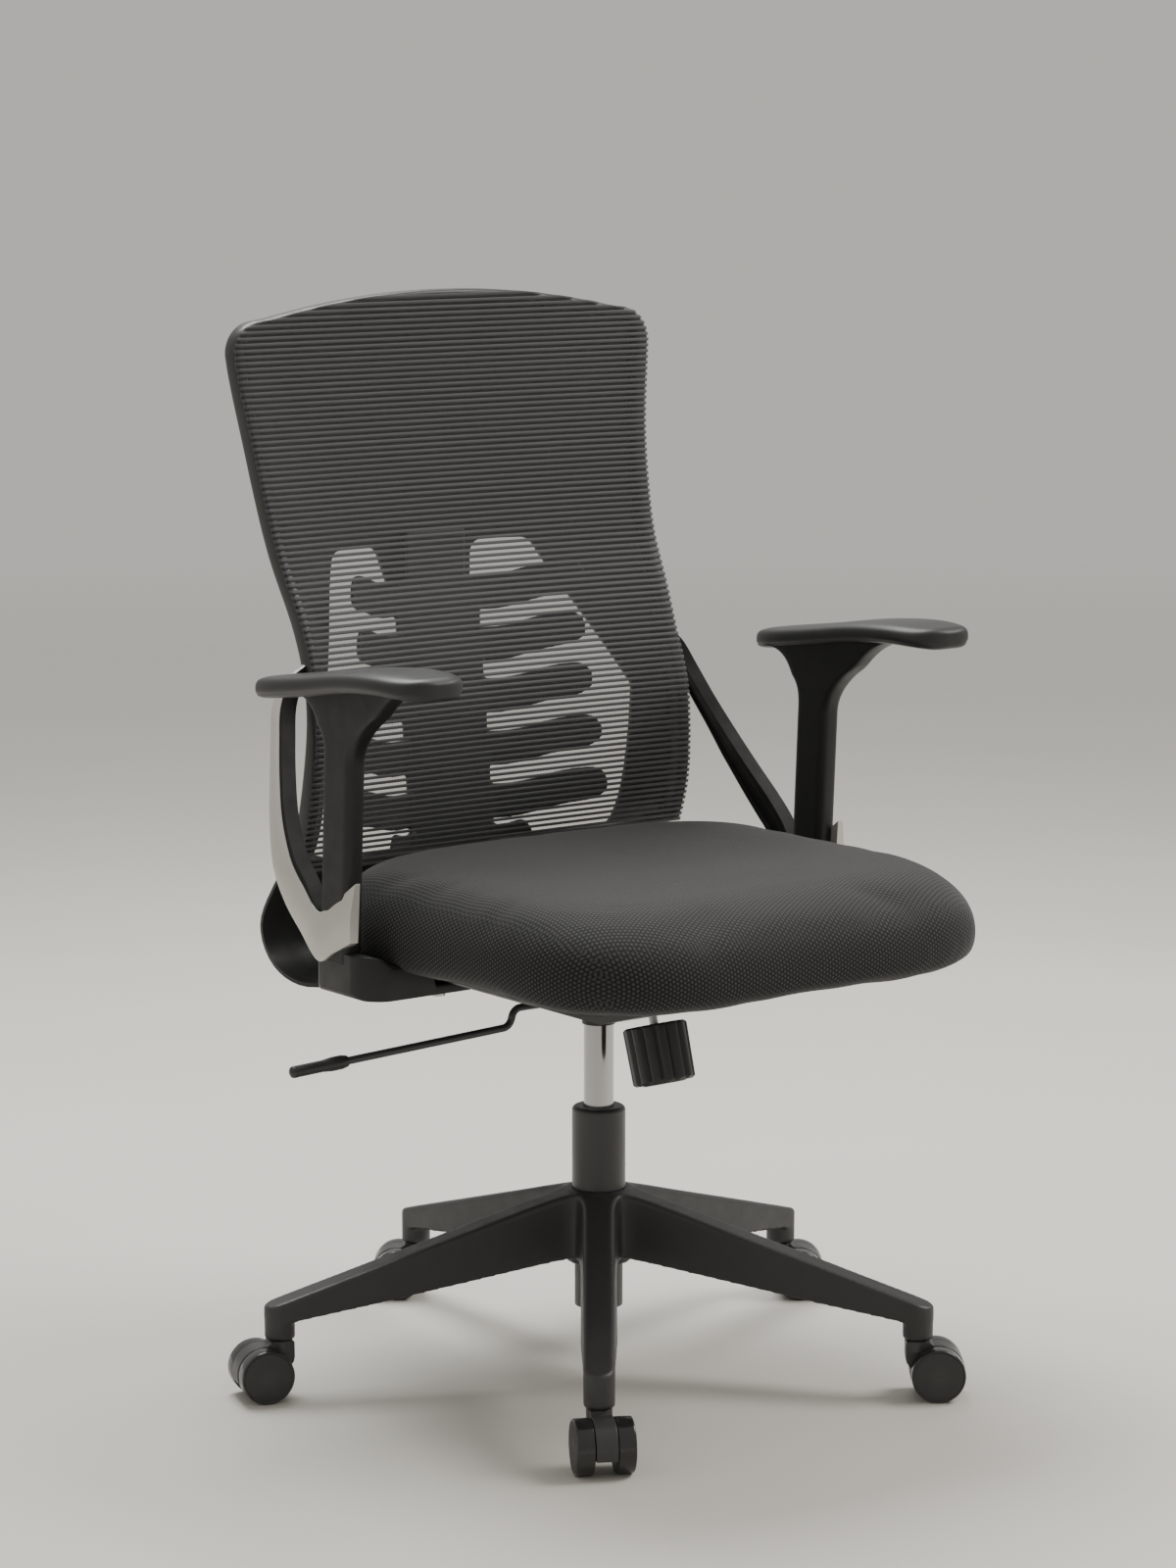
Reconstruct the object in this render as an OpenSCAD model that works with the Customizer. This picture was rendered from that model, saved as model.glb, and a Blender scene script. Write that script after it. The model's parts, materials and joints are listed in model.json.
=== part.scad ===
// Swivel office chair: five-leg base, gas lift, tilt mechanism, padded seat, mesh back and fixed arms.
// The origin is on the lift column's axis at floor level. +Z is up, -Y is the front and +X is the
// sitter's left.

/* [Base] */
// Distance from the column axis to each caster's stem
base_reach = 308; // [290:1:330]
// Height of the star base's top at the column
hub_top = 174; // [168:1:182]
// Height of the top of each leg's outer end
leg_tip_top = 88; // [84:1:94]

/* [Casters] */
// Diameter of each caster wheel
wheel_d = 50; // [48:1:52]
// Width of each caster wheel
wheel_w = 16; // [14:0.5:17]
// Width of the caster hood between its two wheels
hood_w = 19.5; // [18:0.5:21]
// Distance from the stem axis back to the wheel axle
trail = 18; // [16:0.5:20]

/* [Gas lift] */
// Outer diameter of the black outer tube
tube_d = 50; // [50:1:51]
// Height of the outer tube's top
tube_top = 251.5; // [248:0.5:254]
// Diameter of the chrome cylinder that slides in the tube
cylinder_d = 28; // [27:1:28]

/* [Tilt mechanism] */
// Distance of the tilt pivot in front of the column axis
pivot_forward = 55; // [52:1:58]
// Height of the tilt pivot
pivot_z = 372; // [371:1:373]
// Diameter of the tension knob
knob_d = 60; // [54:1:60]
// Length of the tension knob
knob_len = 54; // [50:1:56]

/* [Seat] */
// Half of the seat's greatest width
seat_half_w = 248; // [244:1:250]
// Distance from the column axis to the seat's front edge
seat_front = 322; // [310:1:330]
// Distance from the column axis to the seat's rear edge
seat_rear = 150; // [140:1:152]
// Height of the cushion's underside
seat_bottom = 408; // [408:1:410]
// Height of the cushion's top
seat_top = 491; // [484:1:496]

/* [Back] */
// Height of the top of the back
back_top = 999; // [990:1:1004]
// Depth of the back's rim, from front to back
rim_depth = 22; // [20:1:24]
// Thickness of the back's plastic shell
shell_t = 4; // [3.5:0.5:5]
// Half of the back shell's greatest width
shell_half_w = 232; // [229:1:234]

/* [Arms] */
// Distance from the centre plane to each arm post's middle
arm_x = 274.5; // [273:0.5:276]
// Width of each arm post
arm_w = 23; // [21:0.5:24]
// Length of each arm pad
pad_len = 275; // [268:1:280]

/* [Hidden] */
$fn = 48;

// Colours
black = "#1b1b1c";
charcoal = "#2b2b2d";
silver = "#b9b6ae";
steel = "#c9cccf";
fabric = "#2a2c30";

// Running clearance between turning or sliding round parts, on the radius
fit = 0.05;

// Each leg's direction, and the direction in which its caster trails
leg_step = 72;
leg_first = -127;
caster_heading = [-117, -37, -37, 143, 163];
function leg_angle(i) = leg_first + leg_step * i;

// Base
hub_r = 31;
hub_low = 104;
leg_root_low = 116;
leg_end_low = 71;
leg_w_root = 29;
leg_w_end = 28;
socket_d = 28;
socket_low = 55;
taper_r_top = 24;
taper_r_low = 22.5;
tube_low = 61;

// Casters
axle_z = wheel_d / 2;
axle_r = 4;
wheel_gap = 0.5;
stem_r = 5.5;
stem_top = 82;
hood_top = 53.5;
caster_half_w = hood_w / 2 + wheel_gap + wheel_w;

// Gas lift
cylinder_r = cylinder_d / 2;
bush_low = 166;
cylinder_low = 158;
cylinder_top = 366;
cylinder_bore_r = 11.5;
rod_r = 5;
piston_z = 222;
cap_low = 330;

// Tilt mechanism
pivot_y = -pivot_forward;
pin_r = 6;
housing_half_w = 36;
housing_low = 341;
plate_t = 4;
shell_plate_t = 12;
plate_low = seat_bottom - shell_plate_t - plate_t;
shell_bolt_z = seat_bottom - shell_plate_t - 9;
ear_in = 40;
knob_tilt = 17;
knob_centre = [0, -92, 317];
knob_r = knob_d / 2;
spring_wire = 3;
spring_r = 11;
spring_turns = 4;

// Lever
lever_z = 356;
lever_pin_x = -38;
lever_pin_r = 2.5;
lever_crank_x = -100;
lever_low_z = 339;
lever_bend_r = 10;
lever_elbow = [lever_crank_x - lever_bend_r, 0, lever_low_z];
lever_end = [-342, 0, 329];
lever_d = 7;

// Seat bolts: [x, y, height of the head's underside]
bolt_r = 3;
bolt_sites = concat(
    [for (sx = [-1, 1], y = [-108, 34]) [sx * 78, y, plate_low]],
    [for (sx = [-1, 1], y = [-12, 38]) [sx * 190, y, seat_bottom - shell_plate_t - 10]],
    [for (x = [-110, 0, 110]) [x, 80, shell_bolt_z]]
);

// Back: the rim's front edge by height, as [height, distance behind the column] and [height, half width]
edge_y_at = [[450, 170], [520, 147], [600, 139], [640, 145], [700, 167], [760, 197], [820, 215], [880, 227],
             [945, 235], [1000, 238]];
edge_w_at = [[450, 223], [520, 223], [600, 218], [670, 214], [740, 218], [800, 223], [860, 229], [945, 240.5],
             [1000, 241]];
corner_r = 32;
corner_z = back_top - 23 - corner_r;
corner_x = 240.5 - corner_r;
rim_low = 478;
rim_w = 13;
mesh_t = 1.5;
mesh_bow = 12;

// Back shell, from its top edge down and forward under the seat:
// [height, middle's distance behind the column, edge's distance, half width]
shell_line = [
    [990, 254, 250, 222], [945, 274, 254, 232], [880, 284, 246, 224], [810, 286, 233, 217],
    [745, 282, 209, 212], [680, 262, 179, 207], [620, 248, 161, 209], [560, 240, 161, 213],
    [500, 240, 176, 216], [455, 246, 210, 220], [412, 252, 236, 220], [376, 242, 226, 213],
    [361, 208, 192, 199], [372, 150, 148, 168], [390, 112, 112, 150], [392, 60, 60, 150]
];
window_low = 462;
window_high = 754;
tongue_w = 47;

// Lumbar spine: one row per pair of ribs, as [height, reach to the tip]
rib_rows = [[705, 136], [655, 133], [605, 138], [554, 145], [503, 148], [464, 84]];
column_half_w = 49;
spine_t = 5;
rib_half_h = 17;

// Arm trim and strut: [x of the outer face, front edge (y, z), rear edge (y, z)] from the back rail
// down round the V and up to the front tip
v_line = [
    [213, [161, 667], [174, 664]], [231, [164, 653], [180, 650]], [245, [160, 629], [177, 627]],
    [256, [146, 599], [163, 596]], [267, [129, 569], [148, 564]], [278, [108, 537], [132, 528]],
    [286, [82, 506], [114, 491]], [287, [62, 486], [95, 463]], [287, [47, 466], [70, 440]],
    [287, [36, 462], [40, 417]], [287, [12, 476], [14, 428]], [286, [-15, 494], [-11, 440]]
];
strut_stations = 10;
trim_t = 3;
strut_w = 16;

// ---------------------------------------------------------------- general shapes

// A smooth curve through [input, output] pairs
function span_of(t, v, i = 0) = i >= len(t) - 2 || v < t[i + 1][0] ? i : span_of(t, v, i + 1);
function slope_of(t, i) =
    let (a = max(i - 1, 0), b = min(i + 1, len(t) - 1))
    (t[b][1] - t[a][1]) / (t[b][0] - t[a][0]);
function curve(t, v) =
    let (
        i = span_of(t, v),
        h = t[i + 1][0] - t[i][0],
        u = (v - t[i][0]) / h,
        rise = slope_of(t, i) * h,
        fall = slope_of(t, i + 1) * h
    )
    (2 * u * u * u - 3 * u * u + 1) * t[i][1] + (u * u * u - 2 * u * u + u) * rise
    + (3 * u * u - 2 * u * u * u) * t[i + 1][1] + (u * u * u - u * u) * fall;

// A solid through a list of rings that all have the same number of points
module loft(rings, closed = false) {
    count = len(rings[0]);
    last = closed ? len(rings) : len(rings) - 1;
    sides = [
        for (i = [0 : last - 1], j = [0 : count - 1])
        let (k = (i + 1) % len(rings), n = (j + 1) % count)
        each [[i * count + j, k * count + j, k * count + n], [i * count + j, k * count + n, i * count + n]]
    ];
    first_cap = [for (j = [1 : count - 2]) [0, j, j + 1]];
    end = (len(rings) - 1) * count;
    last_cap = [for (j = [1 : count - 2]) [end, end + j + 1, end + j]];
    polyhedron([for (ring = rings) each ring], closed ? sides : concat(sides, first_cap, last_cap));
}

module ring(r_out, r_in, h) {
    difference() {
        cylinder(r = r_out, h = h);
        translate([0, 0, -1])
            cylinder(r = r_in, h = h + 2);
    }
}

module mirrored(side) {
    if (side > 0) children();
    else mirror([1, 0, 0]) children();
}

// ---------------------------------------------------------------- base

module leg() {
    hull() {
        for (side = [-1, 1]) {
            translate([12, side * (leg_w_root / 2 - 2.5), hub_top - 3])
                sphere(r = 3, $fn = 20);
            translate([base_reach * 0.5, side * (leg_w_root / 2 - 3.5), 134])
                sphere(r = 3, $fn = 20);
            translate([12, side * (leg_w_root / 2 + 1), leg_root_low])
                cylinder(r = 2, h = 1, $fn = 20);
        }
        translate([base_reach, 0, leg_tip_top - 3])
            cylinder(r1 = leg_w_end / 2, r2 = leg_w_end / 2 - 3, h = 3);
        translate([base_reach, 0, leg_end_low])
            cylinder(d = leg_w_end, h = 1);
    }
}

module base_star() {
    color(black)
    difference() {
        union() {
            translate([0, 0, leg_root_low])
                cylinder(r = hub_r, h = hub_top - leg_root_low);
            translate([0, 0, hub_low])
                cylinder(r = hub_r, h = leg_root_low - hub_low);
            for (i = [0 : 4])
                rotate([0, 0, leg_angle(i)])
                    leg();
            for (i = [0 : 4])
                rotate([0, 0, leg_angle(i)])
                    translate([base_reach, 0, socket_low])
                        cylinder(d = socket_d, h = leg_end_low - socket_low + 2);
        }
        translate([0, 0, hub_low])
            cylinder(r1 = taper_r_low, r2 = taper_r_top, h = hub_top - hub_low);
        translate([0, 0, hub_low - 1])
            cylinder(r = taper_r_low, h = 1.5);
        translate([0, 0, hub_top - 0.5])
            cylinder(r = taper_r_top, h = 10);
        for (i = [0 : 4])
            rotate([0, 0, leg_angle(i)])
                translate([base_reach, 0, socket_low - 1])
                    cylinder(r = stem_r + fit, h = stem_top - socket_low + 1.5);
    }
}

module gas_tube() {
    color(black)
    difference() {
        union() {
            translate([0, 0, tube_low])
                cylinder(r = taper_r_low, h = hub_low - tube_low);
            translate([0, 0, hub_low])
                cylinder(r1 = taper_r_low, r2 = taper_r_top, h = hub_top - hub_low);
            rotate_extrude()
                polygon(concat(
                    [[0, hub_top], [tube_d / 2, hub_top]],
                    [for (a = [0 : 15 : 90]) [tube_d / 2 - 4 + 4 * cos(a), tube_top - 4 + 4 * sin(a)]],
                    [[0, tube_top]]
                ));
        }
        translate([0, 0, tube_low + 4])
            cylinder(r = 21, h = bush_low - tube_low - 4);
        translate([0, 0, bush_low - 1])
            cylinder(r = 19, h = tube_top - 4 - bush_low + 1);
        translate([0, 0, tube_low - 1])
            cylinder(r = rod_r + fit, h = 10);
        translate([0, 0, tube_top - 10])
            cylinder(r = cylinder_r + 0.5, h = 20);
    }
}

module guide_bush() {
    color("#d8d8d2")
    translate([0, 0, bush_low])
        ring(19, cylinder_r + fit, tube_top - 4 - bush_low);
}

module thrust_bearing() {
    color(steel)
    translate([0, 0, tube_low + 4])
        ring(12, rod_r + fit, 5);
}

module retaining_clip() {
    color(steel)
    translate([0, 0, tube_low - 1.5])
        ring(8, rod_r - 1, 1.5);
}

// ---------------------------------------------------------------- casters

// Places a caster drawn with its stem on the Z axis and its wheels trailing along +X
module at_caster(n) {
    rotate([0, 0, leg_angle(n - 1)])
        translate([base_reach, 0, 0])
            rotate([0, 0, caster_heading[n - 1] - leg_angle(n - 1)])
                children();
}

module caster_stem() {
    color(steel) {
        translate([0, 0, 30])
            cylinder(r = stem_r, h = stem_top - 30);
    }
}

// Side outline of the hood: a neck under the stem that turns over between the wheels as a fender
module hood_outline() {
    r = wheel_d / 2 + 0.5;
    polygon(concat(
        [for (a = [-18 : 12 : 102]) [trail + r * cos(a), axle_z + r * sin(a)]],
        [[11.5, hood_top], [-11.5, hood_top], [-11.5, 36]],
        [for (a = [174 : 12 : 198]) [trail + r * cos(a), axle_z + r * sin(a)]]
    ));
}

module caster_hood() {
    color(charcoal)
    difference() {
        union() {
            rotate([90, 0, 0])
                translate([0, 0, -hood_w / 2])
                    linear_extrude(hood_w)
                        hood_outline();
            translate([0, 0, hood_top - 8])
                cylinder(d = 23.5, h = 9);
        }
        translate([0, 0, 30])
            cylinder(r = stem_r, h = 40);
        translate([trail, 0, axle_z])
            rotate([90, 0, 0])
                cylinder(r = axle_r, h = hood_w + 2, center = true);
    }
}

module caster_axle() {
    color(steel)
    translate([trail, 0, axle_z])
        rotate([90, 0, 0])
            cylinder(r = axle_r, h = 2 * caster_half_w - 8, center = true);
}

// A wheel with a rounded tread and a flat outer face; side -1 or +1
module caster_wheel(side) {
    r = wheel_d / 2;
    color(black)
    translate([trail, side * (hood_w / 2 + wheel_gap), axle_z])
        rotate([-90 * side, 0, 0])
            rotate_extrude($fn = 72)
                polygon(concat(
                    [[axle_r + fit, 0], [r - 2, 0]],
                    [[r, 2]],
                    [for (a = [0 : 30 : 90]) [r - 2 + 2 * cos(a), wheel_w - 2 + 2 * sin(a)]],
                    [[0, wheel_w], [0, wheel_w - 3], [axle_r + fit, wheel_w - 3]]
                ));
}

// ---------------------------------------------------------------- gas lift

// The rod has a groove near its lower end for the retaining clip
module piston_rod() {
    color(steel) {
        difference() {
            translate([0, 0, tube_low - 4])
                cylinder(r = rod_r, h = piston_z - tube_low + 4);
            translate([0, 0, tube_low - 1.5 - fit])
                ring(rod_r + 2, rod_r - 1 - fit, 1.5 + 2 * fit);
        }
        translate([0, 0, piston_z])
            cylinder(r = cylinder_bore_r - fit, h = 10);
        translate([0, 0, tube_low + 9.3])
            ring(9, rod_r - 0.5, 3);
    }
}

module gas_cylinder() {
    color(steel)
    difference() {
        union() {
            translate([0, 0, cylinder_low])
                cylinder(r = cylinder_r, h = cap_low - cylinder_low);
            translate([0, 0, cap_low])
                cylinder(r1 = cylinder_r, r2 = cylinder_r - 1.2, h = cylinder_top - cap_low);
        }
        translate([0, 0, cylinder_low - 1])
            cylinder(r = rod_r + fit, h = 20);
        translate([0, 0, cylinder_low + 10])
            cylinder(r = cylinder_bore_r, h = 158);
    }
}

// ---------------------------------------------------------------- tilt mechanism

module on_knob_axis() {
    translate(knob_centre)
        rotate([-knob_tilt, 0, 0])
            children();
}

module tilt_housing() {
    front = pivot_y - 66;
    color(charcoal)
    difference() {
        union() {
            rotate([90, 0, 90])
                translate([0, 0, -housing_half_w])
                    linear_extrude(2 * housing_half_w)
                        polygon([
                            [front, 362], [pivot_y + 5, housing_low], [45, housing_low], [45, 352],
                            [20, 360], [pivot_y + 20, 384], [front, 384]
                        ]);
            translate([0, 0, cap_low])
                cylinder(d = 31.4, h = 14);
        }
        translate([0, 0, cap_low])
            cylinder(r1 = cylinder_r, r2 = cylinder_r - 1.2, h = cylinder_top - cap_low);
        translate([0, 0, cap_low - 1])
            cylinder(r = cylinder_r, h = 1.2);
        translate([0, 0, cylinder_top - 0.2])
            cylinder(r = cylinder_r - 1.2, h = 20);
        translate([0, pivot_y, pivot_z])
            rotate([0, 90, 0])
                cylinder(r = pin_r, h = 100, center = true);
        on_knob_axis()
            translate([0, 0, knob_len / 2 + 8])
                cylinder(r = spring_r + 5, h = 60);
        on_knob_axis()
            cylinder(r = 4 + fit, h = 60);
        translate([-housing_half_w - 1, 0, lever_z])
            rotate([0, 90, 0])
                cylinder(r = 8 + fit, h = 15);
    }
}

module pivot_pin() {
    color(steel)
    translate([0, pivot_y, pivot_z])
        rotate([0, 90, 0])
            cylinder(r = pin_r, h = 2 * ear_in + 16, center = true);
}

// Points along the coil of the tension spring
function coil(turn) = [spring_r * cos(360 * turn), spring_r * sin(360 * turn), 4.6 * turn];

module tension_spring() {
    steps = 16;
    color(steel)
    on_knob_axis()
        translate([0, 0, knob_len / 2 + 10])
            loft([
                for (i = [0 : steps * spring_turns])
                let (a = 360 * i / steps, c = coil(i / steps))
                [for (k = [0 : 60 : 300])
                    c + spring_wire / 2 * [-cos(k) * cos(a), -cos(k) * sin(a), sin(k)]]
            ]);
}

module tension_bolt() {
    color(steel)
    on_knob_axis() {
        translate([0, 0, -10])
            cylinder(r = 4, h = 60);
    }
}

module tension_knob() {
    flutes = 14;
    color(black)
    on_knob_axis()
        difference() {
            translate([0, 0, -knob_len / 2])
                cylinder(r1 = knob_r - 1, r2 = knob_r, h = knob_len);
            for (i = [0 : flutes - 1])
                rotate([0, 0, 360 * i / flutes])
                    translate([knob_r + 2, 0, -knob_len / 2 - 1])
                        cylinder(r = 4.8, h = knob_len + 2, $fn = 24);
            translate([0, 0, -10])
                cylinder(r = 4, h = 60);
        }
}

// ---------------------------------------------------------------- lever

module rod_between(a, b, d) {
    v = b - a;
    len_v = norm(v);
    translate(a)
        rotate([0, acos(v[2] / len_v), atan2(v[1], v[0])])
            cylinder(d = d, h = len_v, $fn = 24);
}

module lever_bush() {
    color(charcoal)
    translate([-housing_half_w - 6, 0, lever_z])
        rotate([0, 90, 0])
            difference() {
                cylinder(r = 8, h = 17);
                translate([0, 0, -1])
                    cylinder(r = 5, h = 12);
                translate([0, 0, lever_pin_x + housing_half_w + 6])
                    rotate([90, 0, 0])
                        cylinder(r = lever_pin_r + fit, h = 20, center = true);
            }
}

// The cross pin on which the lever rocks
module lever_pin() {
    color(steel)
    translate([lever_pin_x, 0, lever_z])
        rotate([90, 0, 0])
            cylinder(r = lever_pin_r, h = 15, center = true);
}

// The point at distance d from a towards b
function toward(a, b, d) = a + d * (b - a) / norm(b - a);

// Centre line of the rod in the XZ plane: out of the housing, down a crank and out to the grip
function lever_line() =
    let (r = lever_bend_r, drop_x = lever_crank_x, end = toward(lever_end, lever_elbow, 4))
    concat(
        [[-housing_half_w + 4, lever_z], [-60, lever_z]],
        [for (a = [90 : 18 : 180]) [drop_x + r + r * cos(a), lever_z - r + r * sin(a)]],
        [for (a = [0 : -18 : -90]) [drop_x - r + r * cos(a), lever_low_z + r + r * sin(a)]],
        [[end[0], end[2]]]
    );

module lever_rod() {
    line = lever_line();
    last = len(line) - 1;
    color(black)
    loft([
        for (i = [0 : last])
        let (
            d = line[min(i + 1, last)] - line[max(i - 1, 0)],
            across = [-d[1], d[0]] / norm(d)
        )
        [for (k = [0 : 30 : 330])
            [line[i][0] + lever_d / 2 * cos(k) * across[0], -lever_d / 2 * sin(k),
             line[i][1] + lever_d / 2 * cos(k) * across[1]]]
    ]);
}

module lever_grip() {
    color(black)
    difference() {
        rod_between(toward(lever_end, lever_elbow, 60), lever_end, 13);
        rod_between(toward(lever_end, lever_elbow, 62), toward(lever_end, lever_elbow, 4), lever_d);
    }
}

// ---------------------------------------------------------------- seat

// Plan of the seat, drawn in from its greatest outline by inset
function seat_plan(inset) =
    let (mid = (seat_rear - seat_front) / 2, half = (seat_rear + seat_front) / 2)
    [for (a = [0 : 6 : 354])
        let (
            power = sin(a) > 0 ? 0.42 : 0.48,
            side = sin(a) > 0 ? 1 - 0.16 * pow(sin(a), 4) : 1 - 0.03 * pow(sin(a), 2)
        )
        [(seat_half_w - inset) * side * sign(cos(a)) * pow(abs(cos(a)), power),
         mid + (half - inset) * sign(sin(a)) * pow(abs(sin(a)), power)]];

module seat_cushion() {
    levels = [[10, seat_bottom], [2, seat_bottom + 14], [0, seat_bottom + 36], [5, seat_top - 22],
              [16, seat_top - 9], [40, seat_top - 1], [90, seat_top]];
    color(fabric)
    loft([for (level = levels) [for (p = seat_plan(level[0])) [p[0], p[1], level[1]]]]);
}

module seat_shell() {
    color(black)
    difference() {
        translate([0, 0, seat_bottom - shell_plate_t])
            linear_extrude(shell_plate_t)
                polygon(seat_plan(14));
        for (site = bolt_sites)
            translate([site[0], site[1], seat_bottom - shell_plate_t - 1])
                cylinder(r = bolt_r, h = shell_plate_t);
    }
}

module seat_plate() {
    color(charcoal)
    difference() {
        union() {
            translate([-100, -130, plate_low])
                cube([200, 180, plate_t]);
            for (side = [-1, 1])
                translate([side * (ear_in + plate_t / 2) - plate_t / 2, pivot_y - 24, pivot_z - 14])
                    cube([plate_t, 48, plate_low - pivot_z + 14.5]);
        }
        translate([0, pivot_y, pivot_z])
            rotate([0, 90, 0])
                cylinder(r = pin_r + fit, h = 120, center = true);
        for (site = bolt_sites)
            translate([site[0], site[1], plate_low - 1])
                cylinder(r = bolt_r + 0.3, h = plate_t + 2);
    }
}

module seat_bolts() {
    color(steel)
    for (site = bolt_sites)
        translate(site) {
            translate([0, 0, -4])
                cylinder(r = 6, h = 4);
            cylinder(r = bolt_r, h = seat_bottom - site[2] - 1);
        }
}

// ---------------------------------------------------------------- back

// Depth of the back shell's front face at a fraction u across (-1 to 1) for one row of shell_line
function shell_y(row, u) = row[2] + (row[1] - row[2]) * (1 - pow(abs(u), 2.2));
function shell_rows(parts) =
    let (n = len(shell_line) - 1)
    [for (i = [0 : n * parts])
        let (s = i / parts)
        [for (k = [0 : 3]) curve([for (j = [0 : n]) [j, shell_line[j][k]]], s)]];

// One face of the shell, moved by t along the row's own normal in the side plane
function shell_face(rows, across, t) = [
    for (i = [0 : len(rows) - 1])
    let (
        a = rows[max(i - 1, 0)],
        b = rows[min(i + 1, len(rows) - 1)],
        along = [b[1] - a[1], b[0] - a[0]] / norm([b[1] - a[1], b[0] - a[0]]),
        row = rows[i],
        arch = 22 * max(0, (row[0] - 800) / 180)
    )
    [for (j = [-across : across])
        let (u = j / across)
        [row[3] * u,
         shell_y(row, u) - along[1] * t,
         row[0] - arch * pow(abs(u), 2) + along[0] * t]]
];

module shell_sheet() {
    rows = shell_rows(2);
    front = shell_face(rows, 8, 0);
    back = shell_face(rows, 8, shell_t);
    loft([for (i = [len(rows) - 1 : -1 : 0])
        concat(front[i], [for (j = [len(back[i]) - 1 : -1 : 0]) back[i][j]])]);
}

// Outline of the shell's window, seen from the front, with a tongue left standing at its top
module window_outline() {
    difference() {
        hull() {
            for (side = [-1, 1]) {
                translate([side * 158, window_low + 18])
                    circle(r = 18);
                translate([side * 168, 610])
                    circle(r = 12);
                translate([side * 104, window_high - 14])
                    circle(r = 14);
            }
        }
        polygon([[-tongue_w - 6, window_high + 10], [tongue_w + 6, window_high + 10],
                 [tongue_w, 712], [-tongue_w, 712]]);
    }
}

module back_shell() {
    color(black)
    resize([2 * shell_half_w, 0, 0])
        difference() {
            shell_sheet();
            translate([0, 320, 0])
                rotate([90, 0, 0])
                    linear_extrude(300)
                        window_outline();
            for (site = bolt_sites)
                if (site[1] > 60)
                    translate([site[0], site[1], seat_bottom - shell_plate_t - 30])
                        cylinder(r = bolt_r + 0.3, h = 40);
        }
}

// The rim's outer edge, seen from the front, from the lower right round to the lower left
function arch_z(x) = back_top - 23 * pow(x / 205, 2);
function half_outline() = concat(
    [for (z = [rim_low : 24 : corner_z]) [curve(edge_w_at, z), z]],
    [for (a = [0 : 18 : 90]) [corner_x + corner_r * cos(a), corner_z + corner_r * sin(a)]],
    [for (x = [180 : -30 : 30]) [x, arch_z(x)]]
);
function outline() =
    let (half = half_outline(), n = len(half))
    concat(
        [for (x = [0 : 45 : 180]) [x, rim_low - 12]],
        half,
        [[0, back_top]],
        [for (i = [n - 1 : -1 : 0]) [-half[i][0], half[i][1]]],
        [for (x = [-180 : 45 : -45]) [x, rim_low - 12]]
    );

module mesh_rim() {
    path = outline();
    n = len(path);
    color(black)
    loft([
        for (i = [0 : n - 1])
        let (
            p = path[i],
            d = path[(i + 1) % n] - path[(i + n - 1) % n],
            inward = [-d[1], d[0]] / norm(d),
            y = curve(edge_y_at, p[1]),
            q = p + rim_w * inward
        )
        [[p[0], y + rim_depth - 3, p[1]], [p[0] + 3 * inward[0], y + rim_depth, p[1] + 3 * inward[1]],
         [q[0], y + rim_depth - 4, q[1]], [q[0], y + 1, q[1]],
         [p[0] + 3 * inward[0], y, p[1] + 3 * inward[1]], [p[0], y + 3, p[1]]]
    ], closed = true);
}

module back_mesh() {
    levels = [for (i = [0 : 18]) rim_low + 4 + (back_top - rim_low - 12) * i / 18];
    function half_w(z) = (z < corner_z ? curve(edge_w_at, z)
        : corner_x + corner_r * sqrt(max(0, 1 - pow((z - corner_z) / (corner_r + 23), 2)))) - 5;
    function face(z, t) = [for (j = [-6 : 6])
        let (u = j / 6, x = half_w(z) * u, lift = min(z, arch_z(x) - 5))
        [x, curve(edge_y_at, z) + 1.5 + mesh_bow * (1 - u * u) * sin(180 * (z - rim_low) / (back_top - rim_low))
            + t, lift]];
    color(fabric)
    loft([for (z = levels) concat(face(z, 0), [for (j = [12 : -1 : 0]) face(z, mesh_t)[j]])]);
}

// Depth of the spine's front face at height z, on its centre line
function spine_y(z) = 231 + 0.105 * (z - 460);

// One rib: it leaves the column level, wraps forward, rises and ends in a lobe whose lower corner
// is the rounder one
module rib(z, reach) {
    wrap = reach > 100 ? 56 : 16;
    rise = reach > 100 ? 14 : 2;
    function round_off(x, r) = sqrt(max(0, 1 - pow(max(0, x - reach + r) / r, 2)));
    loft([
        for (i = [0 : 14])
        let (
            x = column_half_w + (reach - 0.2 - column_half_w) * sin(90 * i / 14),
            out = (x - column_half_w) / (reach - column_half_w),
            y = spine_y(z) - wrap * pow(out, 1.4),
            middle = z + rise * out * out * (3 - 2 * out),
            low = middle - rib_half_h * round_off(x, 24),
            high = middle + rib_half_h * round_off(x, 11)
        )
        [[x, y, low], [x, y, high], [x, y + spine_t, high], [x, y + spine_t, low]]
    ]);
}

module lumbar_ribs() {
    color(black)
    for (row = rib_rows, side = [-1, 1])
        mirrored(side)
            rib(row[0], row[1]);
}

// The column that carries the ribs, its upper tab and the two brackets that hold it to the shell
module lumbar_spine() {
    low = 444;
    high = 722;
    tab_top = 768;
    color(black)
    resize([2 * column_half_w, 0, 0]) {
        loft([
            for (z = [low, 586, high])
            [[-column_half_w, spine_y(z), z], [column_half_w, spine_y(z), z],
             [column_half_w, spine_y(z) + spine_t, z], [-column_half_w, spine_y(z) + spine_t, z]]
        ]);
        translate([-34, spine_y(high), high - 6])
            cube([68, spine_t, tab_top - high + 6]);
        translate([-24, spine_y(high), window_high + 2])
            cube([48, 27, 12]);
        translate([-40, spine_y(low) + 1, low])
            cube([80, 16, 12]);
    }
}

// ---------------------------------------------------------------- arms

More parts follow.
